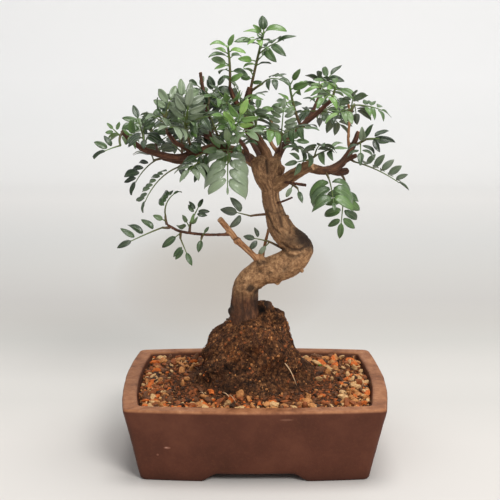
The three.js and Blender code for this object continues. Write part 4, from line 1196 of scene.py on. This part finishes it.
# Sprays, as in the part's source
SPRAYS = {
    "left_tip": spray([(-89, -16, 233), (-92, -21, 230), (-90, -24, 225)], 0.55,
        leaf(1, (-108, -31, 218), 12, (0, -0.8, 0.5), lift=40, side=-1),
        leaf(0.35, (-99, -22, 240), 8, VIEWER), leaf(0.15, (-84, -12, 240), 11)),
    "left_front": spray([(-75, -20, 222), (-74, -26, 228), (-74, -30, 234)], 0.4,
        leaf(0.7, (-86, -42, 238), 13, LEFT), leaf(1, (-71, -34, 249), 12, VIEWER),
        leaf(1, (-76, -62, 228), 12)),
    "left_back": spray([(-65, -22, 219), (-68, -10, 228), (-71, -2, 234)], 0.3,
        leaf(0.7, (-84, 8, 239), 13), leaf(1, (-66, 12, 246), 14, VIEWER),
        leaf(0.9, (-82, 26, 232), 13, BEHIND)),
    "left_side": spray([(-58, -32, 234), (-59, -34, 241), (-60, -36, 247)], 0.3,
        leaf(1, (-64, -44, 259), 14, LEFT), leaf(0.8, (-52, -28, 266), 16, VIEWER, bloom=0.7),
        leaf(0.6, (-70, -56, 248), 14)),
    "left_mid": spray([(-42, -22, 219), (-44, -30, 231), (-46, -37, 240)], 0.35,
        leaf(1, (-41, -46, 266), 17, VIEWER, bloom=0.8), leaf(0.7, (-62, -64, 240), 14),
        leaf(1, (-22, -56, 248), 15)),
    "left_top": spray([(-21, -15, 221), (-25, -18, 230), (-28, -19, 239)], 0.45,
        leaf(1, (-36, -16, 262), 14, VIEWER), leaf(0.8, (-8, -28, 252), 13)),
    "left_inner": spray([(-50, -5, 212), (-50, 2, 220), (-51, 8, 228)], 0.25,
        leaf(1, (-62, 24, 240), 14, BEHIND), leaf(0.8, (-34, 20, 242), 13)),
    "left_stub": spray([(-32, -8, 243), (-31, 0, 250), (-31, 4, 256)], 0.35,
        leaf(1, (-46, 12, 266), 14, VIEWER), leaf(0.8, (-20, 4, 270), 13, VIEWER),
        leaf(0.7, (-52, 26, 254), 13, BEHIND)),
    "left_hang_tip": spray([(-63, 0, 213), (-67, 1, 212), (-70, 2, 211)], 0.25,
        leaf(0.6, (-85, -16, 190), 11, (-0.5, -0.7, 0.45), lift=30, arch=4, side=-1),
        leaf(1, (-78, 26, 214), 12, BEHIND)),
    "left_hang": spray([(-44, -8, 214), (-48, -12, 211), (-52, -15, 209)], 0.25,
        leaf(1, (-76, -33, 181), 9, (-0.6, -0.6, 0.5), lift=20, arch=6, side=-1),
        leaf(0.8, (-47.5, -24, 203), 12, VIEWER)),
    "pale_leaf": spray([(-13, -12, 219), (-17, -19, 224), (-18, -26, 224)], 0.45,
        leaf(1, (-18, -50, 196), 20, (0, -0.5, 0.87), lift=28, most=0.8, pitch=0.42, end=0.3, curl=10,
             bloom=0.9),
        leaf(0.9, (-18, -45, 240), 15, VIEWER, most=0.7)),
    "left_under": spray([(-30, -18, 222), (-33, -24, 218), (-35, -29, 214)], 0.3,
        leaf(1, (-38, -42, 203), 11, VIEWER, most=0.55), leaf(0.8, (-50, -53, 219), 13)),
    "front": spray([(-10, -46, 232), (-12, -50, 236), (-14, -53, 240)], 0.65,
        leaf(1, (-27, -70, 251), 16), leaf(0.8, (-6, -60, 260), 17, VIEWER), leaf(0.5, (2, -74, 236), 14)),
    "apex": spray([(-3, -4, 260), (1, -4, 279), (6, -4, 299)], 0.66,
        leaf(1, (5, -2, 310), 12, VIEWER, slimness=1.7), leaf(0.97, (22, -8, 301), 18, arch=3),
        leaf(0.93, (-8, -3, 300), 13), leaf(0.95, (-1, -9, 304), 9, VIEWER), leaf(0.85, (2, -17, 297), 13),
        leaf(0.87, (11, -10, 293), 9), leaf(0.78, (-14, -8, 293), 16),
        leaf(0.62, (28, -8, 296), 15, most=0.55), leaf(0.45, (-8, -8, 276), 14),
        leaf(0.5, (12, 11, 285), 14), leaf(0.43, (11, -12, 278), 11), leaf(0.25, (-10, -18, 275), 14),
        leaf(0.9, (-9, -15, 291), 12), leaf(0.7, (11, -17, 288), 13)),
    "left_apex": spray([(-17, -10, 261), (-16, -10, 274), (-18, -10, 289)], 0.6,
        leaf(1, (-30, -13, 293), 14), leaf(1, (-14, -12, 298), 10, VIEWER), leaf(0.95, (-18, -25, 291), 13),
        leaf(0.9, (-6, -14, 287), 13), leaf(0.85, (-29, -2, 287), 13), leaf(0.78, (-33, -14, 284), 16),
        leaf(0.75, (-9, 0, 284), 12), leaf(0.58, (-27, -18, 275), 12), leaf(0.45, (-4, -16, 270), 14),
        leaf(0.45, (-25, 2, 272), 13)),
    "apex_low": spray([(-10, -9, 247), (-17, -14, 251), (-21, -17, 253)], 0.5,
        leaf(1, (-40, -28, 258), 14), leaf(0.7, (-16, -38, 262), 14, VIEWER)),
    "apex_arch": spray([(-4, -4, 258), (0, -8, 262), (5, -11, 265)], 0.5,
        leaf(1, (24, -20, 264), 11, arch=5)),
    "right_apex": spray([(32, 12, 233), (26, 11, 248), (24, 8, 262)], 0.7,
        leaf(1, (31, 2, 274), 11, VIEWER), leaf(0.95, (12, -2, 270), 14, arch=3),
        leaf(0.9, (37, 0, 264), 14, VIEWER), leaf(0.6, (17, -6, 250), 11, VIEWER),
        leaf(0.7, (39, 20, 262), 13, BEHIND)),
    "right_top": spray([(53, 14, 250), (55, 14, 256), (56, 14, 261)], 0.7,
        leaf(0.9, (40, 8, 266), 11), leaf(1, (56, 26, 265), 11), leaf(0.8, (71, 4, 251), 18),
        leaf(0.4, (42, -12, 250), 13)),
    "right_top_low": spray([(44, 14, 243), (46, 20, 243), (47, 25, 242)], 0.4,
        leaf(1, (62, 46, 238), 13, BEHIND), leaf(0.7, (37, 36, 252), 13, BEHIND)),
    "right_twig_leaves": spray([(65, 0, 243), (67, 0, 247), (68, 1, 250)], 0.5,
        leaf(0.5, (47, -14, 240), 14), leaf(0.9, (95, 6, 241), 11), leaf(1, (80, 28, 240), 13, BEHIND)),
    "right_cluster": spray([(67, -6, 222), (72, -9, 225), (76, -13, 228)], 0.4,
        leaf(1, (94, -24, 227), 15, (0, -0.75, 0.65), most=0.6), leaf(0.8, (80, -12, 238), 13, most=0.6),
        leaf(0.5, (74, -34, 214), 12)),
    "right_long": spray([(63, -8, 215), (66, -10, 213), (68, -11, 212)], 0.3,
        leaf(1, (104, -24, 194.5), 10, lift=60, arch=3, pitch=0.72, curl=40)),
    "right_hang": spray([(48, -12, 206), (49, -15, 204), (50, -18, 202)], 0.35,
        leaf(1, (52.5, -46, 185), 19, (0, -0.5, 0.85), lift=24, most=0.7, pitch=0.5, end=0.35, curl=12)),
    "right_hang_back": spray([(58, -6, 204), (61, -5, 201), (62, -5, 198)], 0.25,
        leaf(1, (58.5, -12, 158.5), 12.5, VIEWER, pitch=0.75)),
    "right_over": spray([(36, -13, 212), (39, -18, 216), (41, -22, 218)], 0.4,
        leaf(1, (62, -34, 224), 12), leaf(0.8, (49, -48, 229), 14), leaf(0.6, (16, -34, 226), 14)),
    "right_under": spray([(24, -14, 198), (28, -17, 196), (29, -19, 195)], 0.25,
        leaf(1, (32, -26, 186), 10, VIEWER)),
    "centre": spray([(17, 4, 217), (18, -8, 226), (18, -20, 232)], 0.4,
        leaf(1, (-4, -36, 236), 13), leaf(0.9, (42, -38, 238), 13), leaf(0.3, (20, -10, 256), 9, VIEWER)),
    "centre_up": spray([(1, -4, 229), (1, -12, 240), (-1, -20, 246)], 0.55,
        leaf(1, (8, -34, 249), 13, VIEWER), leaf(0.3, (-17, -36, 250), 14)),
    "low_tip": spray([(-57, -34, 171), (-60, -35.5, 171), (-62, -36.5, 171.5)], 0.3,
        leaf(1, (-91, -52, 161), 11.5, VIEWER, arch=4, side=-1, pitch=0.72)),
    "low_up": spray([(-59, -34, 173), (-60, -34, 176), (-60, -33, 179)], 0.3,
        leaf(1, (-49, -26, 194), 8.5, (-0.7, -0.7, 0.2), arch=6, side=1, most=0.5, pitch=0.45, longer=1.5),
        leaf(0.4, (-68, -37, 180), 8, VIEWER, slimness=2)),
    "low_mid": spray([(-44, -31, 167), (-44, -29, 171), (-43, -28, 174)], 0.35,
        leaf(1, (-35, -24, 189), 8, VIEWER), leaf(0.4, (-48, -42, 181), 8, VIEWER)),
    "low_hang": spray([(-50, -32, 168), (-50, -34, 166), (-50, -36, 164)], 0.25,
        leaf(1, (-42, -44, 147), 10.5, VIEWER, side=-1, most=0.6, pitch=0.3),
        leaf(0.3, (-62, -37, 158), 13, VIEWER, arch=3)),
    "low_near": spray([(-35, -28, 165), (-36, -31, 164), (-36, -33, 163)], 0.25,
        leaf(1, (-38, -37, 154.5), 13, VIEWER, slimness=2.1), leaf(0.3, (-31, -31, 171), 6, VIEWER)),
    "low_cross": spray([(12, -2, 174), (3, -6, 174.5), (-3, -9, 174)], 0.1,
        leaf(1, (-24, -20, 177), 13, VIEWER, slimness=2.1, most=0.55, pitch=0.8)),
    "low_back": spray([(22, -3, 148), (15, -6, 153), (9, -8, 156)], 0.2,
        leaf(1, (-8, -11, 160), 10, VIEWER, slimness=2.1, pitch=0.8), leaf(0.9, (5, -8, 144), 10, VIEWER)),
    "back": spray([(-8, 50, 233), (-9, 54, 239), (-10, 56, 245)], 0.4,
        leaf(1, (-22, 66, 264), 14, BEHIND), leaf(0.8, (10, 70, 252), 14, BEHIND),
        leaf(0.5, (-26, 74, 236), 14, BEHIND)),
    "back_low": spray([(-4, 36, 224), (1, 40, 225), (5, 44, 225)], 0.25,
        leaf(1, (24, 58, 220), 14, BEHIND), leaf(0.7, (4, 66, 212), 14, BEHIND)),
    "back_right": spray([(46, 54, 248), (47, 57, 253), (48, 58, 258)], 0.5,
        leaf(1, (57, 72, 255), 14, BEHIND), leaf(0.8, (34, 74, 256), 14, BEHIND),
        leaf(0.6, (66, 70, 248), 14, BEHIND)),
    "back_right_low": spray([(42, 44, 241), (47, 45, 239), (51, 46, 237)], 0.25,
        leaf(1, (74, 50, 228), 14, BEHIND), leaf(0.6, (48, 66, 226), 14, BEHIND)),
    "back_left": spray([(-50, 38, 236), (-52, 41, 241), (-53, 43, 246)], 0.4,
        leaf(1, (-58, 46, 258), 14, BEHIND), leaf(0.8, (-70, 56, 241), 14, BEHIND),
        leaf(0.6, (-42, 62, 252), 14, BEHIND)),
    "back_left_low": spray([(-40, 26, 229), (-44, 28, 225), (-48, 30, 222)], 0.25,
        leaf(1, (-70, 38, 212), 14, BEHIND), leaf(0.6, (-36, 50, 216), 14, BEHIND)),
}

# Leaves that only this look adds, placed one by one
MORE_LEAVES = {
    "left_under": [leaf(0.2, (-48, -38, 215), 13, VIEWER, bloom=0),
        leaf(0.6, (-43, -34, 209), 11, VIEWER, bloom=0)],
    "pale_leaf": [leaf(0.1, (-34, -36, 223), 12, VIEWER, bloom=0.1)],
    "apex": [leaf(0.5, (-11, -14, 282), 12, VIEWER), leaf(0.12, (5, -8, 266), 12, VIEWER),
        leaf(0.2, (-10, 2, 268), 12, VIEWER)],
    "left_apex": [leaf(0.6, (-30, -6, 282), 13, VIEWER), leaf(0.2, (-8, -18, 272), 12, VIEWER),
        leaf(0.3, (-22, -14, 270), 12, VIEWER)],
    "left_mid": [leaf(0.9, (-49, -26, 270), 14, VIEWER, bloom=0.6),
        leaf(0.8, (-42, -34, 269), 13, VIEWER, bloom=0.6)],
    "centre": [leaf(0.6, (37, -14, 226), 13, VIEWER)],
    "right_over": [leaf(0.3, (20, -24, 212), 13, VIEWER)],
    "right_cluster": [leaf(0.9, (93, -8, 226), 15, VIEWER), leaf(0.6, (72, -20, 236), 13, VIEWER)],
    "right_under": [leaf(0.3, (21, -16, 188), 9, VIEWER)],
}

# How many further leaves fill the crown where there is room
FILLING = {
    "left_tip": 1, "left_front": 2, "left_back": 1, "left_side": 3, "left_mid": 4, "left_top": 3,
    "left_inner": 3, "left_stub": 3, "left_under": 2, "pale_leaf": 1, "front": 2, "apex_low": 2,
    "right_apex": 1, "right_top": 1,
    "right_top_low": 2, "right_twig_leaves": 1, "centre_up": 1, "back": 2, "back_low": 2, "back_right": 2,
    "back_right_low": 2, "back_left": 2, "back_left_low": 3, "left_hang_tip": 1,
}


class Stance:
    """How a leaf stands in space: its rib arches from base to tip, its leaflets lift and then droop."""

    def __init__(self, base, tip, spec):
        chord = tip - base
        span = chord.length
        facing = spec["face"]
        self.along = chord.normalized()
        self.up = (facing - self.along * facing.dot(self.along)).normalized()
        self.across = self.up.cross(self.along)
        rise = span * 0.09 if spec["arch"] is None else spec["arch"]
        self.radius = (span * span / 4 + rise * rise) / (2 * rise)
        self.half_turn = math.asin(span / 2 / self.radius)
        self.centre = (base + tip) / 2 + self.up * (rise - self.radius)
        self.lift = math.radians(spec["lift"])
        self.length = 2 * self.half_turn * self.radius

    def place(self, x, y, z=0, droop=DROOP_RADIUS):
        """A place on the leaf: x along the rib, y to one side of it and z off the blade."""
        slope = self.lift - abs(y) / droop
        out = droop * (math.sin(self.lift) - math.sin(slope)) - z * math.sin(slope)
        height = droop * (math.cos(slope) - math.cos(self.lift)) + z * math.cos(slope)
        turn = x / self.radius - self.half_turn
        reach = self.radius + height
        side = math.copysign(1, y) if y else 0
        return (self.centre + self.up * (reach * math.cos(turn)) + self.along * (reach * math.sin(turn))
                + self.across * (side * out))


def leaf_pairs(plan, spacing):
    """The leaf's pairs of leaflets: how far along the row each is, its place on the rib, and their step."""
    if plan["single"]:
        return
    reach = plan["last_root"] - plan["first_root"]
    pairs = 1 + math.floor(reach / spacing + 0.5)
    step = reach / (pairs - 1) if pairs > 1 else plan["size"]
    for pair in range(pairs):
        yield pair / (pairs - 1) if pairs > 1 else 1, plan["last_root"] - (pairs - 1 - pair) * step, step


def lay_out(spec, length, draw):
    """Marks on the solid's leaflets, which say where the leaf has room, and the plan of its rib."""
    single = spec["size"] > 0.7 * length
    size = spec["size"] if single else min(spec["size"], spec["most"] * length)
    end_size = min(spec["end"] * size, length - 1)
    end_root = length - end_size
    last_root = end_root - 0.24 * size
    plan = {"single": single, "size": size, "end_size": end_size, "end_root": end_root,
            "last_root": last_root, "first_root": min(4.5 + 0.09 * length, last_root)}
    marks = []
    for share, x, step in leaf_pairs(plan, spec["pitch"] * size):
        half = min(size / spec["slimness"], 0.8 * step) / 2
        for side in (1, -1):
            long = size * (0.86 + 0.14 * math.sin(math.pi * share) + 0.14 * (draw() - 0.5))
            angle = math.radians(70 - 12 * share + 8 * (draw() - 0.5))
            if side == -spec["side"]:
                continue
            cos, sin = math.cos(angle), math.sin(angle)
            for out, wide in ((0.4 * long, half), (long, 0), (0.55 * long, -half)):
                marks.append((x + cos * out - sin * wide, side * (RIB_HALF_WIDTH + sin * out + cos * wide)))
    half = end_size / spec["slimness"] / 2
    marks += [(end_root + 0.42 * end_size, -half), (length, 0), (end_root + 0.42 * end_size, half)]
    if single:
        marks += [(end_root + 0.82 * end_size, -half * 0.6), (end_root + 0.82 * end_size, half * 0.6)]
    return marks, plan


# Turns tried when a leaf finds no room, in degrees: round the upright and up or down
TURNS = [(0, 0), (9, 0), (-9, 0), (0, 9), (0, -9), (18, 0), (-18, 0), (0, 18), (0, -18), (14, 14), (-14, -14),
         (14, -14), (-14, 14), (27, 0), (0, 27), (0, -27)]


def stand_leaf(base, spec, taken, draw):
    """A leaf that would touch what is already there is turned on its base until it is clear."""
    marks, plan = lay_out(spec, Stance(base, spec["tip"], spec).length, draw)
    centres, rooms = np.split(np.array(taken), [3], axis=1)
    best = None
    for swing, nod in TURNS:
        reach = Matrix.Rotation(math.radians(swing), 3, UP) @ (spec["tip"] - base)
        level = Vector((reach.y, -reach.x, 0)).normalized()
        stance = Stance(base, Matrix.Rotation(math.radians(nod), 3, level) @ reach + base, spec)
        spots = [stance.place(x, y) for x, y in marks]
        room = min(np.min(np.linalg.norm(centres - np.array(spot), axis=1) - rooms[:, 0]) for spot in spots)
        if best is None or room > best[0]:
            best = (room, stance, spots)
        if room > 0:
            break
    return best[1], best[2], plan


def place_leaf(base, spec, draw):
    """A leaf that stands as its row says, without being turned."""
    stance = Stance(base, spec["tip"], spec)
    marks, plan = lay_out(spec, stance.length, draw)
    return stance, [stance.place(x, y) for x, y in marks], plan


def roomy_leaf(base, heading, taken, look):
    """A further leaf at a place on a stem, pointing to where there is the most room."""
    centres = np.array(taken)[:, :3]
    best = None
    for _ in range(FILLING_TRIES):
        turn = look.between(0, FULL_TURN)
        way = Vector((math.cos(turn), math.sin(turn), look.between(-0.2, 0.8))).normalized()
        tip = base + (way + heading * 0.4).normalized() * look.between(*FILLING_REACH)
        if abs(tip.x) > CROWN_REACH[0] or abs(tip.y) > CROWN_REACH[1] or tip.z > CROWN_REACH[2]:
            continue
        ahead = [base + (tip - base) * share for share in (0.5, 0.75, 1)]
        room = min(np.min(np.linalg.norm(centres - np.array(spot), axis=1)) for spot in ahead)
        if best is None or room > best[0]:
            best = (room, tip)
    return leaf(0, best[1], look.between(*FILLING_SIZE), lift=look.between(*FILLING_LIFT))


def blade_faces(rows, columns):
    """The faces of two sheets, one over the other, and of the strip that joins their borders."""
    count = rows * columns
    upper = grid_faces(rows, columns, closed=False)
    lower = [tuple(count + n for n in reversed(quad)) for quad in upper]
    border = list(range(columns))
    border += [i * columns + columns - 1 for i in range(1, rows)]
    border += [(rows - 1) * columns + j for j in range(columns - 2, -1, -1)]
    border += [i * columns for i in range(rows - 2, 0, -1)]
    strip = [(b, a, count + a, count + b) for a, b in zip(border, border[1:] + border[:1])]
    return upper + lower + strip


BLADE_FACES = blade_faces(BLADE_ROWS, BLADE_COLUMNS)


def leaflet(form, stance, root, angle, side, long, wide, look, petiole=1.2, droop=CURL_RADIUS, **looks):
    """One leaflet, a thin closed blade: pointed at both ends, folded on its midrib, arched lengthwise."""
    cos, sin = math.cos(angle), math.sin(angle)
    curl = look.between(-0.1, 0.36) * long * 0.5
    fold = look.between(0.08, 0.42)
    twist = look.between(-0.55, 0.55)
    wave = look.between(0, 6.28)
    points = []
    uvs = []
    for offset in (BLADE_HALF_THICKNESS, -BLADE_HALF_THICKNESS):
        for row in range(BLADE_ROWS):
            u = row / (BLADE_ROWS - 1)
            half = wide / 2 * min(1, 2.5 * (u + 0.012) ** 0.58 * (1.006 - u) ** 0.82)
            out = petiole + u * (long - petiole)
            for column in range(BLADE_COLUMNS):
                v = -1 + 2 * column / (BLADE_COLUMNS - 1)
                x = root[0] + cos * out - sin * v * half
                y = root[1] + side * (sin * out + cos * v * half)
                lift = abs(v) * half * fold + v * half * twist * u - curl * u * u
                lift += 0.35 * math.sin(wave + 7 * u) * abs(v)
                lift += offset * (1 - 0.8 * abs(v) ** 3) * (1 - 0.6 * abs(2 * u - 1) ** 4)
                points.append(stance.place(x, y if abs(y) > 1e-6 else 1e-6, lift, droop))
                uvs.append((0.02 + u, v))
    count = BLADE_ROWS * BLADE_COLUMNS
    faces = BLADE_FACES if side > 0 else [face[::-1] for face in BLADE_FACES]
    # The lower sheet is marked for the painted shade beneath
    form.add(points, faces, 0, uvs, under=[0.0] * count + [1.0] * count, **looks)


def grow_leaf(form, stance, plan, spec, freshness, look):
    """A leaf's rib and its leaflets, closer set than the solid's."""
    rib_end = plan["end_root"] + 1
    shares = [i / RIB_STEPS for i in range(RIB_STEPS + 1)]
    stations = [[*stance.place(rib_end * share, 0), FINE_RIB_RADIUS - RIB_THINNING * share]
                for share in shares]
    tones = [0.25 + 0.5 * freshness + 0.24 * share for share in shares]
    tube(form, stations, 6, 1, tone=tones, under=0.0, bloom=0.0)
    tone = 0.04 + 0.8 * freshness + look.between(-0.24, 0.2)
    bloom = spec["bloom"] if spec["bloom"] is not None else look() ** 4 * (1 - 0.7 * freshness)

    def shade():
        return min(1, max(0, tone + look.between(-0.12, 0.12)))

    for share, place, _step in leaf_pairs(plan, FINER_PITCH * spec["pitch"] * plan["size"]):
        for side in (1, -1):
            if side == -spec["side"]:
                continue
            root = (place + look.between(-0.5, 0.5), side * 0.3)
            stretch = 1.02 + 0.14 * math.sin(math.pi * share) + look.between(-0.1, 0.1)
            long = plan["size"] * spec["longer"] * stretch
            angle = math.radians(74 - 14 * share + look.between(-8, 8))
            leaflet(form, stance, root, angle, side, long, long / look.between(2.3, 3.0), look, tone=shade(),
                    bloom=bloom, droop=spec["curl"])
    long = plan["end_size"]
    leaflet(form, stance, (plan["end_root"], 0), 0, 1, long, long / (spec["slimness"] * 0.98), look,
            tone=shade(), bloom=bloom, petiole=0.6)


def make_foliage(blade, shoot):
    """The solids' own sprays, then the leaves that only this look adds, first one by one and then by room."""
    draw = Draws(LEAF_SEED)
    for _ in range(DRAWS_BEFORE_LEAVES):
        draw()
    look = Draws(LOOK_SEED)
    taken = [(*row[:3], row[3] + WOOD_CLEARANCE) for limb in LIMBS for row in limb]
    shares = [i / STEM_STEPS for i in range(STEM_STEPS + 1)]
    forms = {}

    def grow(name, spec, stance, spots, plan):
        taken.extend((*spot, LEAF_CLEARANCE) for spot in spots)
        grow_leaf(forms[name], stance, plan, spec, SPRAYS[name][1], look)

    for name, (stem, freshness, leaves) in SPRAYS.items():
        forms[name] = Form()
        stations = [[*bezier(stem, share), STEM_RADIUS * (1 - STEM_TAPER * share)] for share in shares]
        tones = [0.05 + freshness * share for share in shares]
        tube(forms[name], stations, 8, 1, round_end=0.8, tone=tones, under=0.0, bloom=0.0)
        for spec in leaves:
            grow(name, spec, *stand_leaf(bezier(stem, spec["along"]), spec, taken, draw))
    for name, leaves in MORE_LEAVES.items():
        for spec in leaves:
            grow(name, spec, *place_leaf(bezier(SPRAYS[name][0], spec["along"]), spec, look))
    for name, count in FILLING.items():
        stem = SPRAYS[name][0]
        for number in range(count):
            base = bezier(stem, FILLING_START + FILLING_RUN * number / count)
            spec = roomy_leaf(base, (stem[2] - stem[0]).normalized(), taken, look)
            grow(name, spec, *place_leaf(base, spec, look))
    for name, form in forms.items():
        show("foliage_" + name, form.mesh("foliage_" + name), [blade, shoot], ["spray_" + name])


# Room, light and camera
ROOM_REACH = 6000
BACKDROP_START = 1100
BACKDROP_BEND = 150
BACKDROP_HEIGHTS = (400, 1600)
BEND_STEPS = 16
# The cloth's colour by its distance along floor and backdrop: painted shade, darkest some 300 to 400 mm
# behind the pot, and painted light, brightest far back on the backdrop
CLOTH_TONES = [
    (16, 216, 212, 207), (103, 210, 207, 202), (154, 212, 209, 204), (210, 209, 206, 201),
    (271, 201, 199, 194), (340, 199, 196, 191), (415, 200, 197, 193), (548, 209, 207, 203),
    (711, 218, 217, 214), (992, 237, 235, 232),
    (1197, 240, 239, 237), (1274, 242, 242, 241), (1343, 248, 248, 248),
]
# A faint warm painted shadow of the tree on the cloth: its middle to the side and along, its reach each way,
# its strength and its colour
SHADOW_SIDE = 0.03
SHADOW_SIDE_REACH = 0.13
SHADOW_ALONG = 560.0
SHADOW_ALONG_REACH = 300.0
SHADOW_STRENGTH = 0.42
SHADOW_COLOUR = (160, 146, 128)


def cloth_material():
    cloth = Shader("pale_cloth", roughness=0.9, specular=0.1)
    along = cloth.attribute("along")
    low, high = CLOTH_TONES[0][0], CLOTH_TONES[-1][0]
    stops = [((place - low) / (high - low), *tone) for place, *tone in CLOTH_TONES]
    # Painted light and shade along the cloth
    light_and_shade_grade = cloth.ramp(cloth.mask(along, low, high), *stops)
    off_centre = cloth.operate("ADD", cloth.split(cloth.place)["X"], SHADOW_SIDE)
    sideways = cloth.operate("POWER", cloth.operate("DIVIDE", off_centre, SHADOW_SIDE_REACH), 2.0)
    past = cloth.operate("SUBTRACT", along, SHADOW_ALONG)
    upward = cloth.operate("POWER", cloth.operate("DIVIDE", past, SHADOW_ALONG_REACH), 2.0)
    # Painted shadow of the tree, soft and warm, on the cloth behind it
    near = cloth.mask(cloth.operate("ADD", sideways, upward), 1.0, 0.0)
    cloth.colour(cloth.mix(cloth.times(near, SHADOW_STRENGTH), light_and_shade_grade, SHADOW_COLOUR))
    return cloth.material


def make_room():
    """A pale cloth: a wide floor that curves up into a backdrop, well behind the pot."""
    start, bend = BACKDROP_START, BACKDROP_BEND
    profile = [(-ROOM_REACH, 0), (0, 0), (start, 0)]
    for step in range(1, BEND_STEPS + 1):
        angle = QUARTER_TURN * step / BEND_STEPS
        profile.append((start + bend * math.sin(angle), bend - bend * math.cos(angle)))
    profile += [(start + bend, height) for height in BACKDROP_HEIGHTS]
    legs = [math.dist(a, b) for a, b in zip(profile, profile[1:])]
    along = [sum(legs[:i]) - ROOM_REACH for i in range(len(profile))]
    points = [(x, y, z) for x in (-ROOM_REACH, ROOM_REACH) for y, z in profile]
    form = Form()
    form.add(points, [face[::-1] for face in grid_faces(2, len(profile), closed=False)], along=along * 2)
    floor = put_in_scene("floor", form.mesh("floor"))
    floor.data.materials.append(cloth_material())


# Lights: name, place, what it points at, width, power and colour
LIGHTS = [
    ("key", (800, -1800, 1700), (0, 0, 120), 900, 34, (1.0, 0.985, 0.965)),
    ("top", (100, -100, 1400), (0, 0, 100), 700, 10, (1.0, 0.99, 0.98)),
]
SKY_COLOUR = (0.95, 0.97, 1.0, 1)
SKY_STRENGTH = 0.43


def add_light(name, place, target, width, power, colour):
    data = bpy.data.lights.new(name, "AREA")
    data.shape = "DISK"
    data.size = width * MM
    data.energy = power
    data.color = colour
    light = put_in_scene(name, data)
    light.location = Vector(place) * MM
    light.rotation_euler = (Vector(target) - Vector(place)).to_track_quat("-Z", "Y").to_euler()


def make_light_and_camera():
    scene = bpy.context.scene
    scene.world = bpy.data.worlds.new("studio")
    scene.world.use_nodes = True
    sky = scene.world.node_tree.nodes["Background"].inputs
    sky["Color"].default_value = SKY_COLOUR
    sky["Strength"].default_value = SKY_STRENGTH
    for light in LIGHTS:
        add_light(*light)
    data = bpy.data.cameras.new("camera")
    data.lens = CAMERA_LENS
    data.sensor_width = SENSOR_WIDTH
    scene.camera = put_in_scene("camera", data)
    scene.camera.location = Vector(CAMERA_PLACE) * MM
    scene.camera.rotation_euler = (math.radians(CAMERA_PITCH), 0, 0)
    scene.view_settings.view_transform = "Standard"
    scene.view_settings.look = "None"


def dress(material, *names):
    """Solids that show as they are take a material of their own."""
    for name in names:
        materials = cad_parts[name].data.materials
        materials.clear()
        materials.append(material)


make_room()
make_light_and_camera()
make_pot(clay_material())
make_tree(bark_material())
make_root_ball(root_material())
make_rootlets(rootlet_material())
soil_look = soil_material()
stone_looks = [stone_material(name, dark, light) for name, dark, light, _ in STONE_TONES]
make_bed(soil_look)
make_crumbs(stone_looks)
make_grit(stone_looks)
make_foliage(blade_material(), shoot_material())
dress(plastic_material(), "drain_screen_left", "drain_screen_right")
dress(soil_look, "soil")
